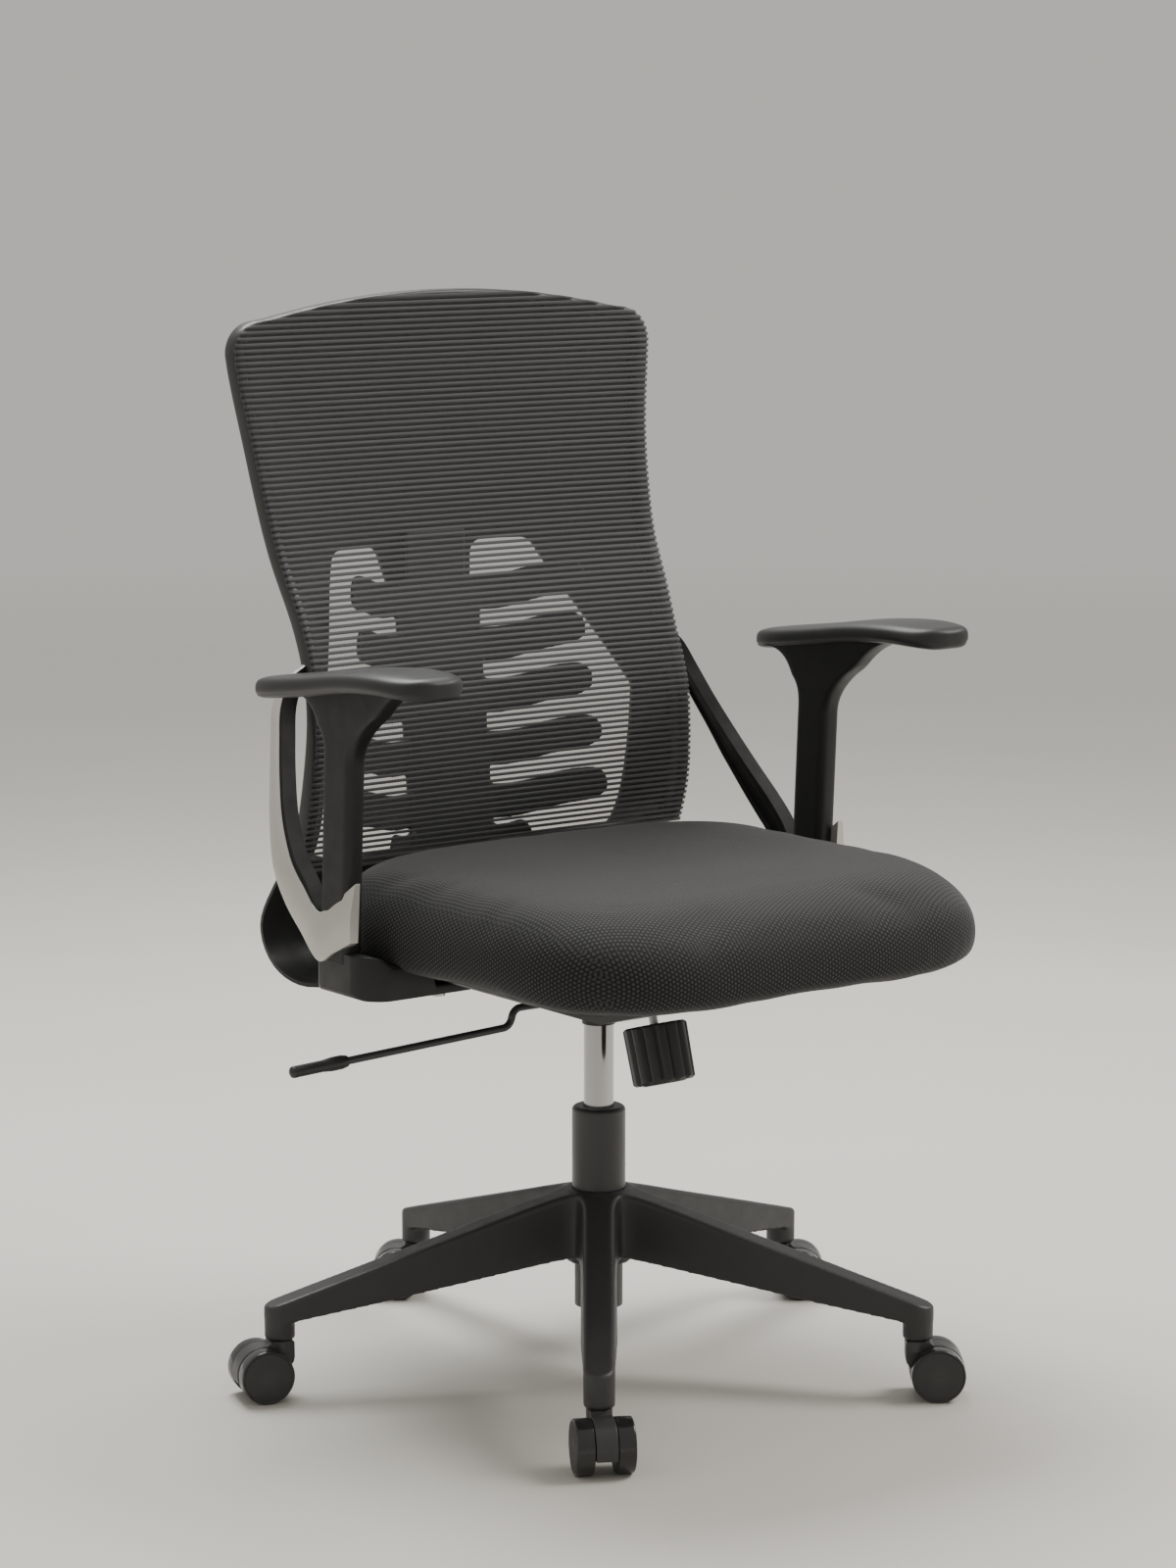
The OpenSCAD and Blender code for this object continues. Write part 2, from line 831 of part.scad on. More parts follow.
// A solid through part of v_line, from the outer face inwards between two depths
module v_limb(first, last, depth_out, depth_in) {
    loft([
        for (i = [first : last])
        let (s = v_line[i], xo = s[0] - depth_out, xi = s[0] - depth_in)
        [[xo, s[1][0], s[1][1]], [xi, s[1][0], s[1][1]], [xi, s[2][0], s[2][1]], [xo, s[2][0], s[2][1]]]
    ]);
}

module arm_trim(side) {
    color(silver)
    mirrored(side)
        v_limb(0, len(v_line) - 1, 0, trim_t);
}

module arm_strut(side) {
    color(charcoal)
    mirrored(side)
        v_limb(0, strut_stations - 2, trim_t, strut_w + trim_t);
}

// Height of the pad's middle by distance behind the column
pad_mid_at = [[-160, 682.5], [-110, 684], [-54, 680], [20, 669], [110, 656.5]];
pad_front = -162;

// Side outline of the post: a plain bar that flares out and ends under the pad
flare_low = 596;
function post_front(z) = -8 - 0.05 * (z - 580) - 108 * pow(max(0, (z - flare_low) / 79), 2.2);
function post_rear(z) = 36 - 0.05 * (z - 580) + 55 * pow(max(0, (z - flare_low) / 54), 3.3);
post_low = 428;
foot_low = 386;

module arm_post(side) {
    front_heights = [post_low, 500, flare_low, 612, 628, 642, 656, 668, 675];
    rear_heights = [649, 642, 634, 624, 612, flare_low, 500, post_low];
    plate_z = seat_bottom - shell_plate_t;
    color(black)
    mirrored(side)
    difference() {
        union() {
            translate([arm_x - arm_w / 2, 0, 0])
                rotate([90, 0, 90])
                    linear_extrude(arm_w - trim_t)
                        polygon(concat(
                            [for (z = front_heights) [post_front(z), z]],
                            [for (y = [-100 : 25 : 75]) [y, curve(pad_mid_at, y) - 7]],
                            [for (z = rear_heights) [post_rear(z), z]]
                        ));
            translate([arm_x - arm_w / 2, -6, foot_low])
                cube([arm_w - trim_t, 58, post_low - foot_low + 1]);
            translate([165, -30, plate_z - 10])
                cube([arm_x - 165, 82, 10]);
        }
        for (site = bolt_sites)
            translate([abs(site[0]), site[1], foot_low - 20])
                cylinder(r = bolt_r + 0.3, h = 60);
    }
}

// Plan half width and half thickness of the pad at a fraction along it
function pad_half_w(t) = (30 + 15 * pow(1 - t, 1.5)) * pow(max(0.02, 1 - pow(abs(2 * t - 1), 5)), 0.4);
function pad_half_t(t) = 11 * pow(max(0.05, 1 - pow(abs(2 * t - 1), 8)), 0.5);

module arm_pad(side) {
    color(black)
    mirrored(side)
        loft([
            for (i = [0 : 20])
            let (t = 0.5 - 0.5 * cos(9 * i), y = pad_front + pad_len * t, w = pad_half_w(t), h = pad_half_t(t))
            [for (a = [330 : -30 : 0])
                [289 + w * sign(cos(a)) * pow(abs(cos(a)), 0.6), y, curve(pad_mid_at, y) + h * sin(a)]]
        ]);
}

// ---------------------------------------------------------------- drawing

base_star();
gas_tube();
guide_bush();
thrust_bearing();
retaining_clip();
for (n = [1 : 5]) {
    at_caster(n) caster_stem();
    at_caster(n) caster_hood();
    at_caster(n) caster_axle();
    at_caster(n) caster_wheel(-1);
    at_caster(n) caster_wheel(1);
}
piston_rod();
gas_cylinder();
tilt_housing();
pivot_pin();
tension_spring();
tension_bolt();
tension_knob();
lever_bush();
lever_pin();
lever_rod();
lever_grip();
seat_plate();
seat_shell();
seat_cushion();
seat_bolts();
back_shell();
mesh_rim();
back_mesh();
lumbar_spine();
lumbar_ribs();
for (side = [-1, 1]) {
    hand = side > 0 ? "left" : "right";
    arm_post(side);
    arm_strut(side);
    arm_trim(side);
    arm_pad(side);
}
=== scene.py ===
import json
from math import copysign, cos, exp, hypot, pi, radians, sin, sqrt

import bmesh
import bpy
from mathutils import Matrix, Vector, noise


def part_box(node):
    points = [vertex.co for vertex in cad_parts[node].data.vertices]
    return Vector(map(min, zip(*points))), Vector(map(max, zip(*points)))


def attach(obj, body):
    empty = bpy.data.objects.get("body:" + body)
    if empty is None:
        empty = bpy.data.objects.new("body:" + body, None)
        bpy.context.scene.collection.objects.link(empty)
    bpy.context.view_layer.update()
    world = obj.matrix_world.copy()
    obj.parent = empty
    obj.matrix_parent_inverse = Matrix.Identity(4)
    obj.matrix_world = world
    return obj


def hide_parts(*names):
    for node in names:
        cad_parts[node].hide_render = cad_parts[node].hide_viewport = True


MM = 0.001

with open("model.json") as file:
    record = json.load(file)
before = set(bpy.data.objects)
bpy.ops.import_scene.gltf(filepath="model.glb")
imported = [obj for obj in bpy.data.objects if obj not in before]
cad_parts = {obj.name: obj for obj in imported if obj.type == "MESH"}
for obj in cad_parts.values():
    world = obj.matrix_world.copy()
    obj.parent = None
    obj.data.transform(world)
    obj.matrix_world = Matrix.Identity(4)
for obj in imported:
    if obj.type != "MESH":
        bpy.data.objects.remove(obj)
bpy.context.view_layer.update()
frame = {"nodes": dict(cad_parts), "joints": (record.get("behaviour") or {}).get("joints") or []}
nodes = frame["nodes"]


# -------- sizes, from the frame

def span(node):
    """Lowest and highest corner of a CAD node, in millimetres."""
    low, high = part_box(node)
    return [c / MM for c in low], [c / MM for c in high]


seat_low, seat_high = span("seat_cushion")
pan_low, pan_high = span("seat_shell")
rim_span_low, rim_span_high = span("mesh_rim")
pad_low, pad_high = span("arm_pad_left")
knob_low, knob_high = span("tension_knob")
star_low, star_high = span("base_star")
wheel_low, wheel_high = span("caster_1_wheel_a")

back_top = rim_span_high[2]
rim_foot = 12
rim_low = rim_span_low[2] + rim_foot
wheel_d = wheel_high[2] - wheel_low[2]
caster_joints = [j for j in frame["joints"] if j["name"].endswith("_swivel") and "caster" in j["name"]]
base_reach = hypot(*caster_joints[0]["pos_m"][:2]) / MM

# The rim's front edge by height, as [height, distance behind the column] and [height, half width]
edge_y_at = [[450, 170], [520, 147], [600, 139], [640, 145], [700, 167], [760, 197], [820, 215], [880, 227],
             [945, 235], [1000, 238]]
edge_w_at = [[450, 223], [520, 223], [600, 218], [670, 214], [740, 218], [800, 223], [860, 229], [945, 240.5],
             [1000, 241]]
# The rim's top edge falls by arch_drop from its middle to arch_half_w
arch_drop = 23
arch_half_w = 205
top_half_w = 240.5
corner_r = 32
corner_z = back_top - arch_drop - corner_r
corner_x = top_half_w - corner_r
rim_w = 13
rim_depth = 22
mesh_bow = 12

# Back shell from its top edge down and forward under the seat:
# [height, middle's distance behind the column, edge's distance, half width]
shell_line = [
    [990, 254, 250, 222], [945, 274, 254, 232], [880, 284, 246, 224], [810, 286, 233, 217],
    [745, 282, 209, 212], [680, 262, 179, 207], [620, 248, 161, 209], [560, 240, 161, 213],
    [500, 240, 176, 216], [455, 246, 210, 220], [412, 252, 236, 220], [376, 242, 226, 213],
    [361, 208, 192, 199], [372, 150, 148, 168], [390, 112, 112, 150], [392, 60, 60, 150]
]
shell_t = 4
window_low = 462
window_high = 754
tongue_w = 47

# Lumbar spine: one row per pair of ribs, as [height, reach to the tip]
rib_rows = [[705, 136], [655, 133], [605, 138], [554, 145], [503, 148], [464, 84]]
rib_half_h = 17
column_half_w = 49
spine_t = 5

# Arm trim and strut: [x of the outer face, front edge (y, z), rear edge (y, z)]
v_line = [
    [213, [161, 667], [174, 664]], [231, [164, 653], [180, 650]], [245, [160, 629], [177, 627]],
    [256, [146, 599], [163, 596]], [267, [129, 569], [148, 564]], [278, [108, 537], [132, 528]],
    [286, [82, 506], [114, 491]], [287, [62, 486], [95, 463]], [287, [47, 466], [70, 440]],
    [287, [36, 462], [40, 417]], [287, [12, 476], [14, 428]], [286, [-15, 494], [-11, 440]]
]
trim_t = 3
strut_w = 16
arm_x = 274.5
arm_w = 23


def curve(pairs, v):
    """A smooth curve through [input, output] pairs."""
    last = len(pairs) - 1
    i = 0
    while i < last - 1 and v >= pairs[i + 1][0]:
        i += 1

    def slope(k):
        a, b = pairs[max(k - 1, 0)], pairs[min(k + 1, last)]
        return (b[1] - a[1]) / (b[0] - a[0])

    h = pairs[i + 1][0] - pairs[i][0]
    u = (v - pairs[i][0]) / h
    return ((2 * u ** 3 - 3 * u ** 2 + 1) * pairs[i][1] + (u ** 3 - 2 * u ** 2 + u) * slope(i) * h
            + (3 * u ** 2 - 2 * u ** 3) * pairs[i + 1][1] + (u ** 3 - u ** 2) * slope(i + 1) * h)


def steps(count):
    """Fractions from 0 to 1 in count equal steps."""
    return [i / count for i in range(count + 1)]


def turns(count):
    """Angles once round in count equal steps."""
    return [2 * pi * k / count for k in range(count)]


def clamp(v, low=0.0, high=1.0):
    return max(low, min(high, v))


def power(v, exponent):
    """A signed power, which turns a circle into a rounded rectangle."""
    return copysign(abs(v) ** exponent, v)


# -------- mesh building

def loft(rings, closed=False, caps=True):
    """Points and faces of a skin through rings that all have the same number of points."""
    count = len(rings[0])
    points = [p for ring in rings for p in ring]
    faces = []
    for i in range(len(rings) if closed else len(rings) - 1):
        k = (i + 1) % len(rings)
        for j in range(count):
            n = (j + 1) % count
            faces.append((i * count + j, k * count + j, k * count + n, i * count + n))
    if caps and not closed:
        faces.append(tuple(range(count)))
        faces.append(tuple(range(len(points) - count, len(points)))[::-1])
    return points, faces


def grid(rows):
    """Points and faces of an open sheet through rows of points."""
    count = len(rows[0])
    points = [p for row in rows for p in row]
    faces = [(i * count + j, i * count + j + 1, (i + 1) * count + j + 1, (i + 1) * count + j)
             for i in range(len(rows) - 1) for j in range(count - 1)]
    return points, faces


def mesh_of(name, shape, weld=True):
    """A mesh from (points, faces) in millimetres, with its faces turned outwards."""
    points, faces = shape
    mesh = bpy.data.meshes.new(name)
    mesh.from_pydata([Vector(p) * MM for p in points], [], faces)
    work = bmesh.new()
    work.from_mesh(mesh)
    if weld:
        bmesh.ops.remove_doubles(work, verts=work.verts, dist=1e-6)
    bmesh.ops.recalc_face_normals(work, faces=work.faces)
    work.to_mesh(mesh)
    work.free()
    return mesh


def shade(mesh, crease=None):
    """Smooth shading, broken at edges that turn by more than crease degrees."""
    for face in mesh.polygons:
        face.use_smooth = True
    if crease is not None:
        mesh.set_sharp_from_angle(angle=radians(crease))


def linked(name, data):
    """A new object in the scene."""
    thing = bpy.data.objects.new(name, data)
    bpy.context.scene.collection.objects.link(thing)
    return thing


def new_piece(name, shape, look, body, hides=(), place=None, crease=35):
    """Makes a piece from (points, faces) in millimetres and says which body it rides on."""
    mesh = mesh_of(name, shape)
    if place is not None:
        mesh.transform(place)
    shade(mesh, crease)
    mesh.materials.append(look)
    piece = linked(name, mesh)
    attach(piece, body)
    if hides:
        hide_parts(*hides)
    return piece


def joined(*shapes):
    """Several (points, faces) shapes as one."""
    points, faces = [], []
    for some_points, some_faces in shapes:
        faces += [tuple(len(points) + i for i in face) for face in some_faces]
        points += some_points
    return points, faces


def rounded(piece, width, segments=3, angle=35):
    """Rounds a piece's sharp edges. The width is in millimetres."""
    bevel = piece.modifiers.new("Rounded edges", "BEVEL")
    bevel.width = width * MM
    bevel.segments = segments
    bevel.limit_method = "ANGLE"
    bevel.angle_limit = radians(angle)
    bevel.harden_normals = True


def applied(piece):
    """Turns a piece's modifiers into its mesh, which keeps the piece's material."""
    look = piece.data.materials[0]
    graph = bpy.context.evaluated_depsgraph_get()
    done = bpy.data.meshes.new_from_object(piece.evaluated_get(graph), depsgraph=graph)
    piece.modifiers.clear()
    piece.data = done
    done.materials.clear()
    done.materials.append(look)


def fused(piece, voxel):
    """Makes overlapping solids one skin of voxels, whose size is in millimetres."""
    fuse = piece.modifiers.new("Fuse", "REMESH")
    fuse.mode = "VOXEL"
    fuse.voxel_size = voxel * MM
    return fuse


def softened(piece, rounds):
    """Evens out a piece, then turns its modifiers into its mesh."""
    soften = piece.modifiers.new("Soften", "SMOOTH")
    soften.iterations = rounds
    applied(piece)


def moulded(piece, voxel, rounds):
    """Gives overlapping solids one skin with soft edges and fillets."""
    fused(piece, voxel).use_smooth_shade = True
    softened(piece, rounds)


# -------- materials

class Look:
    """A material's node tree, with short calls for the nodes that the looks share."""

    def __init__(self, name):
        self.material = bpy.data.materials.new(name)
        self.material.use_nodes = True
        self.tree = self.material.node_tree
        self.surface = self.tree.nodes["Principled BSDF"]
        coordinates = self.node("TexCoord")
        self.place = coordinates.outputs["Object"]
        self.facing = coordinates.outputs["Normal"]

    def node(self, kind):
        return self.tree.nodes.new("ShaderNode" + kind)

    def feed(self, socket, value):
        """Links a varying value to a socket, or sets a constant on it."""
        if isinstance(value, bpy.types.NodeSocket):
            self.tree.links.new(value, socket)
        else:
            socket.default_value = value

    def set(self, **values):
        for name, value in values.items():
            self.feed(self.surface.inputs[name.replace("_", " ")], value)

    def noise(self, size, detail=2.0, stretch=(1, 1, 1)):
        """Noise with features of about size millimetres, from 0 to 1."""
        mapping = self.node("Mapping")
        mapping.inputs["Scale"].default_value = [1 / (size * MM * s) for s in stretch]
        self.feed(mapping.inputs["Vector"], self.place)
        texture = self.node("TexNoise")
        texture.inputs["Scale"].default_value = 1.0
        texture.inputs["Detail"].default_value = detail
        self.feed(texture.inputs["Vector"], mapping.outputs["Vector"])
        return texture.outputs["Fac"]

    def cells(self, size):
        """Distance to the nearest of many points about size millimetres apart."""
        texture = self.node("TexVoronoi")
        texture.inputs["Scale"].default_value = 1 / (size * MM)
        self.feed(texture.inputs["Vector"], self.place)
        return texture.outputs["Distance"]

    def do(self, operation, a, b=0.0, c=0.0):
        node = self.node("Math")
        node.operation = operation
        for socket, value in zip(node.inputs, (a, b, c)):
            self.feed(socket, value)
        return node.outputs[0]

    def times(self, a, b):
        return self.do("MULTIPLY", a, b)

    def plus(self, a, b):
        return self.do("ADD", a, b)

    def between(self, value, low, high, from_low=0.0, from_high=1.0):
        """A varying value stretched to run from low to high."""
        node = self.node("MapRange")
        for name, v in (("Value", value), ("From Min", from_low), ("From Max", from_high),
                        ("To Min", low), ("To Max", high)):
            self.feed(node.inputs[name], v)
        return node.outputs["Result"]

    def mix(self, factor, a, b):
        node = self.node("Mix")
        node.data_type = "RGBA"
        self.feed(node.inputs["Factor"], factor)
        self.feed(node.inputs["A"], a)
        self.feed(node.inputs["B"], b)
        return node.outputs["Result"]

    def parts(self, vector):
        node = self.node("SeparateXYZ")
        self.feed(node.inputs[0], vector)
        return node.outputs

    def bump(self, height, depth, strength=1.0, under=None):
        """Bumps of about depth millimetres."""
        node = self.node("Bump")
        node.inputs["Strength"].default_value = strength
        node.inputs["Distance"].default_value = depth * MM
        self.feed(node.inputs["Height"], height)
        if under is not None:
            self.feed(node.inputs["Normal"], under)
        return node.outputs["Normal"]

    def edges(self):
        """From 0 on flat surfaces to 1 on worn outer edges."""
        geometry = self.node("NewGeometry")
        return self.between(geometry.outputs["Pointiness"], 0.0, 1.0, 0.51, 0.60)


def grey(value, warmth=0.0):
    return (value * (1 + warmth), value, value * (1 - warmth), 1.0)


def plastic(name, shade, rough, grain=0.35, grain_depth=0.02, warmth=0.0, gloss=0.5):
    """Moulded plastic: a fine spark-eroded grain, faint flow clouds and edges polished by handling."""
    look = Look(name)
    clouds = look.noise(70, 3)
    smear = look.noise(16, 4)
    worn = look.edges()
    body = look.mix(clouds, grey(shade * 0.86, warmth), grey(shade * 1.14, warmth))
    look.set(Base_Color=look.mix(look.times(worn, 0.35), body, grey(shade * 2.2, warmth)))
    varied = look.between(smear, rough - 0.05, rough + 0.06, 0.3, 0.7)
    look.set(Roughness=look.do("SUBTRACT", varied, look.times(worn, 0.10)))
    fine = look.plus(look.cells(grain), look.noise(grain * 0.7, 2))
    look.set(Normal=look.bump(fine, grain_depth, 0.6), Specular_IOR_Level=gloss)
    return look.material


def metal(name, shade, rough, warmth=0.0, brush=(1, 1, 1), brush_depth=0.004):
    """Bare metal with fine marks drawn out along one direction."""
    look = Look(name)
    marks = look.noise(0.9, 5, brush)
    haze = look.noise(24, 3)
    look.set(Metallic=1.0, Base_Color=look.mix(haze, grey(shade * 0.92, warmth), grey(shade, warmth)))
    look.set(Roughness=look.between(haze, rough * 0.8, rough * 1.3, 0.3, 0.7))
    look.set(Normal=look.bump(marks, brush_depth, 0.5))
    return look.material


def powder_coat(name, shade, rough):
    """Black powder coat with a soft orange peel."""
    look = Look(name)
    peel = look.noise(1.6, 3)
    clouds = look.noise(45, 2)
    worn = look.edges()
    body = look.mix(clouds, grey(shade * 0.85), grey(shade * 1.2))
    look.set(Base_Color=look.mix(look.times(worn, 0.3), body, grey(shade * 2.5)))
    look.set(Roughness=look.between(clouds, rough - 0.04, rough + 0.06, 0.3, 0.7))
    look.set(Normal=look.bump(peel, 0.05, 0.5), Coat_Weight=0.15, Coat_Roughness=0.25)
    return look.material


def silver_paint(name):
    """Warm satin silver paint: metal flakes under a thin clear coat, rubbed paler at the edges."""
    look = Look(name)
    flakes = look.cells(0.22)
    clouds = look.noise(60, 3)
    worn = look.edges()
    body = look.mix(clouds, (0.50, 0.485, 0.45, 1), (0.58, 0.565, 0.53, 1))
    look.set(Base_Color=look.mix(look.times(worn, 0.5), body, (0.72, 0.71, 0.69, 1)), Metallic=0.55)
    look.set(Roughness=look.between(flakes, 0.36, 0.46), Normal=look.bump(flakes, 0.006, 0.4))
    look.set(Coat_Weight=0.2, Coat_Roughness=0.3)
    return look.material


def seat_weave(name):
    """Knitted seat cover: dots in a staggered pattern, drawn on whichever plane the surface faces."""
    look = Look(name)
    pitch = 3.4 * MM
    x, y, z = look.parts(look.place)
    nx, ny, nz = look.parts(look.facing)

    def dots(u, v):
        """Three waves 60 degrees apart, which meet in a honeycomb of dots."""
        total = None
        for turn in (0, 60, 120):
            along = look.plus(look.times(u, cos(radians(turn)) / pitch),
                            look.times(v, sin(radians(turn)) / pitch))
            wave = look.do("COSINE", look.times(along, 2 * pi))
            total = wave if total is None else look.plus(total, wave)
        return total

    shares = [look.do("POWER", look.do("ABSOLUTE", n), 6.0) for n in (nx, ny, nz)]
    whole = look.plus(look.plus(shares[0], shares[1]), shares[2])
    faces = (dots(y, z), dots(x, z), dots(x, y))
    knit = look.times(faces[0], look.do("DIVIDE", shares[0], whole))
    for share, face in zip(shares[1:], faces[1:]):
        knit = look.plus(knit, look.times(face, look.do("DIVIDE", share, whole)))
    knit = look.between(knit, 0.0, 1.0, -1.5, 3.0)
    fibre = look.noise(0.5, 4)
    clouds = look.noise(90, 2)
    thread = look.mix(clouds, (0.036, 0.036, 0.036, 1), (0.050, 0.050, 0.050, 1))
    hole = (0.006, 0.006, 0.006, 1)
    look.set(Base_Color=look.mix(look.between(knit, 0.0, 1.0, 0.15, 0.6), hole, thread))
    look.set(Roughness=look.between(fibre, 0.72, 0.92, 0.3, 0.7), Sheen_Weight=0.12, Sheen_Roughness=0.4)
    look.set(Specular_IOR_Level=0.3)
    rough = look.bump(fibre, 0.15, 0.5)
    look.set(Normal=look.bump(knit, 0.5, 0.7, rough))
    return look.material


def band_knit(name):
    """The back's close-knit bands: fine ribs across each band, with a soft sheen."""
    look = Look(name)
    x = look.parts(look.place)[0]
    rib_pitch = 1.1 * MM
    ribs = look.do("SINE", look.times(x, 2 * pi / rib_pitch))
    ribs = look.between(ribs, 0.0, 1.0, -1.0, 1.0)
    patches = look.noise(26, 3, (3, 1, 0.4))
    fibre = look.noise(0.6, 3)
    yarn = look.mix(patches, (0.068, 0.069, 0.070, 1), (0.108, 0.109, 0.110, 1))
    look.set(Base_Color=look.mix(ribs, (0.048, 0.048, 0.051, 1), yarn))
    look.set(Roughness=look.between(fibre, 0.55, 0.78, 0.3, 0.7), Sheen_Weight=0.35, Sheen_Roughness=0.35)
    look.set(Normal=look.bump(look.plus(ribs, fibre), 0.2, 0.6))
    return look.material


def sheer_knit(name):
    """The sheer net between the bands: thin upright threads with clear air between them."""
    look = Look(name)
    x = look.parts(look.place)[0]
    thread_pitch = 1.8 * MM
    wobble = look.times(look.noise(2.5, 2), 0.4 * MM)
    threads = look.do("SINE", look.times(look.plus(x, wobble), 2 * pi / thread_pitch))
    cover = look.between(threads, 0.0, 0.75, 0.35, 0.9)
    look.set(Base_Color=look.mix(threads, (0.05, 0.05, 0.054, 1), (0.10, 0.10, 0.105, 1)))
    look.set(Roughness=look.between(threads, 0.5, 0.7, -1.0, 1.0), Alpha=cover)
    return look.material


def soft_skin(name):
    """Polyurethane arm pad: a leathery grain, slightly polished where arms rest."""
    look = Look(name)
    grain = look.plus(look.cells(1.1), look.times(look.noise(0.5, 4), 0.5))
    clouds = look.noise(50, 3)
    up = look.parts(look.facing)[2]
    rested = look.times(look.between(up, 0.0, 1.0, 0.75, 1.0), clouds)
    look.set(Base_Color=look.mix(clouds, grey(0.015), grey(0.023)))
    look.set(Roughness=look.between(rested, 0.50, 0.38, 0.1, 0.7), Normal=look.bump(grain, 0.05, 0.4))
    look.set(Specular_IOR_Level=0.45)
    return look.material


looks = {
    "nylon": plastic("base nylon", 0.030, 0.48, grain=0.45, grain_depth=0.03),
    "shell": plastic("back shell plastic", 0.017, 0.50, grain=0.5, grain_depth=0.03),
    "rim": plastic("rim plastic", 0.022, 0.40, grain=0.4),
    "spine": plastic("spine plastic", 0.036, 0.50, grain=0.5, grain_depth=0.03),
    "arm": plastic("arm plastic", 0.011, 0.50, grain=0.4, grain_depth=0.025, gloss=0.4),
    "strut": plastic("strut plastic", 0.012, 0.60, grain=0.4, grain_depth=0.025, gloss=0.15),
    "pan": plastic("seat pan plastic", 0.016, 0.52, grain=0.5, grain_depth=0.03),
    "small": plastic("small moulding plastic", 0.019, 0.42),
    "hood": plastic("caster hood plastic", 0.034, 0.40),
    "tread": plastic("wheel tread plastic", 0.016, 0.20, grain=0.6, grain_depth=0.006, gloss=0.6),
    "disc": plastic("wheel face plastic", 0.028, 0.55),
    "acetal": plastic("bush acetal", 0.55, 0.42, warmth=0.02),
    # The mechanism's coat is the black powder coat made darker as painted shade, for the shade under the seat
    "housing": powder_coat("mechanism coat with painted shade", 0.012, 0.50),
    "coat": powder_coat("black powder coat", 0.028, 0.42),
    "steel": metal("bright steel", 0.60, 0.30, brush=(1, 1, 12)),
    "chrome": metal("polished chrome", 0.42, 0.16, brush=(6, 6, 1), brush_depth=0.001),
    "silver": silver_paint("satin silver"),
    "seat": seat_weave("seat knit"),
    "band": band_knit("mesh band knit"),
    "sheer": sheer_knit("mesh sheer net"),
    "pad": soft_skin("arm pad skin"),
}

# The CAD nodes that stay, by look
kept = {
    "coat": ["gas_tube", "seat_plate"],
    "acetal": ["guide_bush"],
    "chrome": ["gas_cylinder"],
    "housing": ["tilt_housing"],
    "small": ["lever_bush"],
    "steel": ["thrust_bearing", "retaining_clip", "piston_rod", "pivot_pin", "tension_spring", "tension_bolt",
              "lever_pin", "seat_bolts"],
}
kept["steel"] += [f"caster_{n}_{part}" for n in range(1, 6) for part in ("stem", "axle")]
boxy = ("tilt_housing", "seat_plate", "lever_bush")


def dress_kept_nodes():
    """Gives them their materials and, where they are boxy, rounded edges."""
    for look, names in kept.items():
        for name in names:
            node = nodes[name]
            node.data.materials.clear()
            node.data.materials.append(looks[look])
            if name in boxy:
                rounded(node, 0.8, 2, 40)


dress_kept_nodes()


# -------- base

hub_top = star_high[2]
hub_low = 104
hub_r = 31
hub_bore_r = 23.5
leg_tip_top = 88
socket_low = star_low[2]
socket_d = 28
core_r = 0.5  # a turned solid keeps a hole this small on its axis


def leg_angle(i):
    """Heading of leg i, in degrees from +X."""
    return -127 + 72 * i


def leg_section(x):
    """Half width, top and bottom of a leg at distance x from the column."""
    top = curve([[0, hub_top - 1], [26, hub_top - 1], [154, 136], [base_reach + 14, leg_tip_top - 2]], x)
    low = 116 - 45 * clamp(x / 300)
    half = 14.5 - 0.5 * clamp(x / 300) + 12 * exp(-max(0, x - 22) / 9)
    past = clamp((x - base_reach) / (socket_d / 2 + 0.5))
    return half * sqrt(1 - past ** 2), top, low


def leg_shape():
    """A leg along +X, from inside the hub to its rounded end round the caster socket."""
    rings = []
    end = base_reach + socket_d / 2
    stations = [hub_bore_r + 3 + (base_reach - hub_bore_r - 3) * t for t in steps(40)]
    stations += [end - 14 * (1 - t) ** 2 for t in steps(8)[1:]]
    for x in stations:
        half, top, low = leg_section(x)
        draft = 2.5 * (1 - clamp((x - 220) / 60))
        edge = min(3, half * 0.5)
        rings.append([(x, -half, top - edge), (x, -half + edge * 0.3, top - edge * 0.3),
                      (x, -half + edge, top), (x, half - edge, top),
                      (x, half - edge * 0.3, top - edge * 0.3), (x, half, top - edge),
                      (x, half + draft, low), (x, -half - draft, low)])
    return loft(rings)


def lathe(profile, count=64):
    """Points and faces of a solid turned round Z from a closed outline of (radius, height)."""
    return loft([[(r * cos(a), r * sin(a), z) for r, z in profile] for a in turns(count)], closed=True)


def turned(shape, place):
    """A shape moved by a matrix whose shift is in millimetres."""
    points, faces = shape
    return [tuple(place @ Vector(p)) for p in points], faces


def base_star():
    """The star: bored hub, five legs and caster sockets, fused into one moulding."""
    shapes = [lathe([(hub_bore_r, hub_low), (hub_r - 1, hub_low), (hub_r, hub_low + 1.5),
                     (hub_r, hub_top - 1.5), (hub_r - 1.5, hub_top), (hub_bore_r, hub_top)])]
    for i in range(5):
        turn = Matrix.Rotation(radians(leg_angle(i)), 4, "Z")
        shapes.append(turned(leg_shape(), turn))
        socket = lathe([(core_r, socket_low), (socket_d / 2 - 1, socket_low), (socket_d / 2, socket_low + 1),
                        (socket_d / 2, leg_tip_top - 10), (core_r, leg_tip_top - 10)], 48)
        shapes.append(turned(socket, turn @ Matrix.Translation((base_reach, 0, 0))))
    piece = new_piece("star_base", joined(*shapes), looks["nylon"], "base", ["base_star"])
    moulded(piece, 2.0, 3)


base_star()


# -------- casters

caster_heading = [-117, -37, -37, 143, 163]
hood_w = 19.5
wheel_gap = 0.5
wheel_w = 16
trail = 18
axle_z = wheel_d / 2


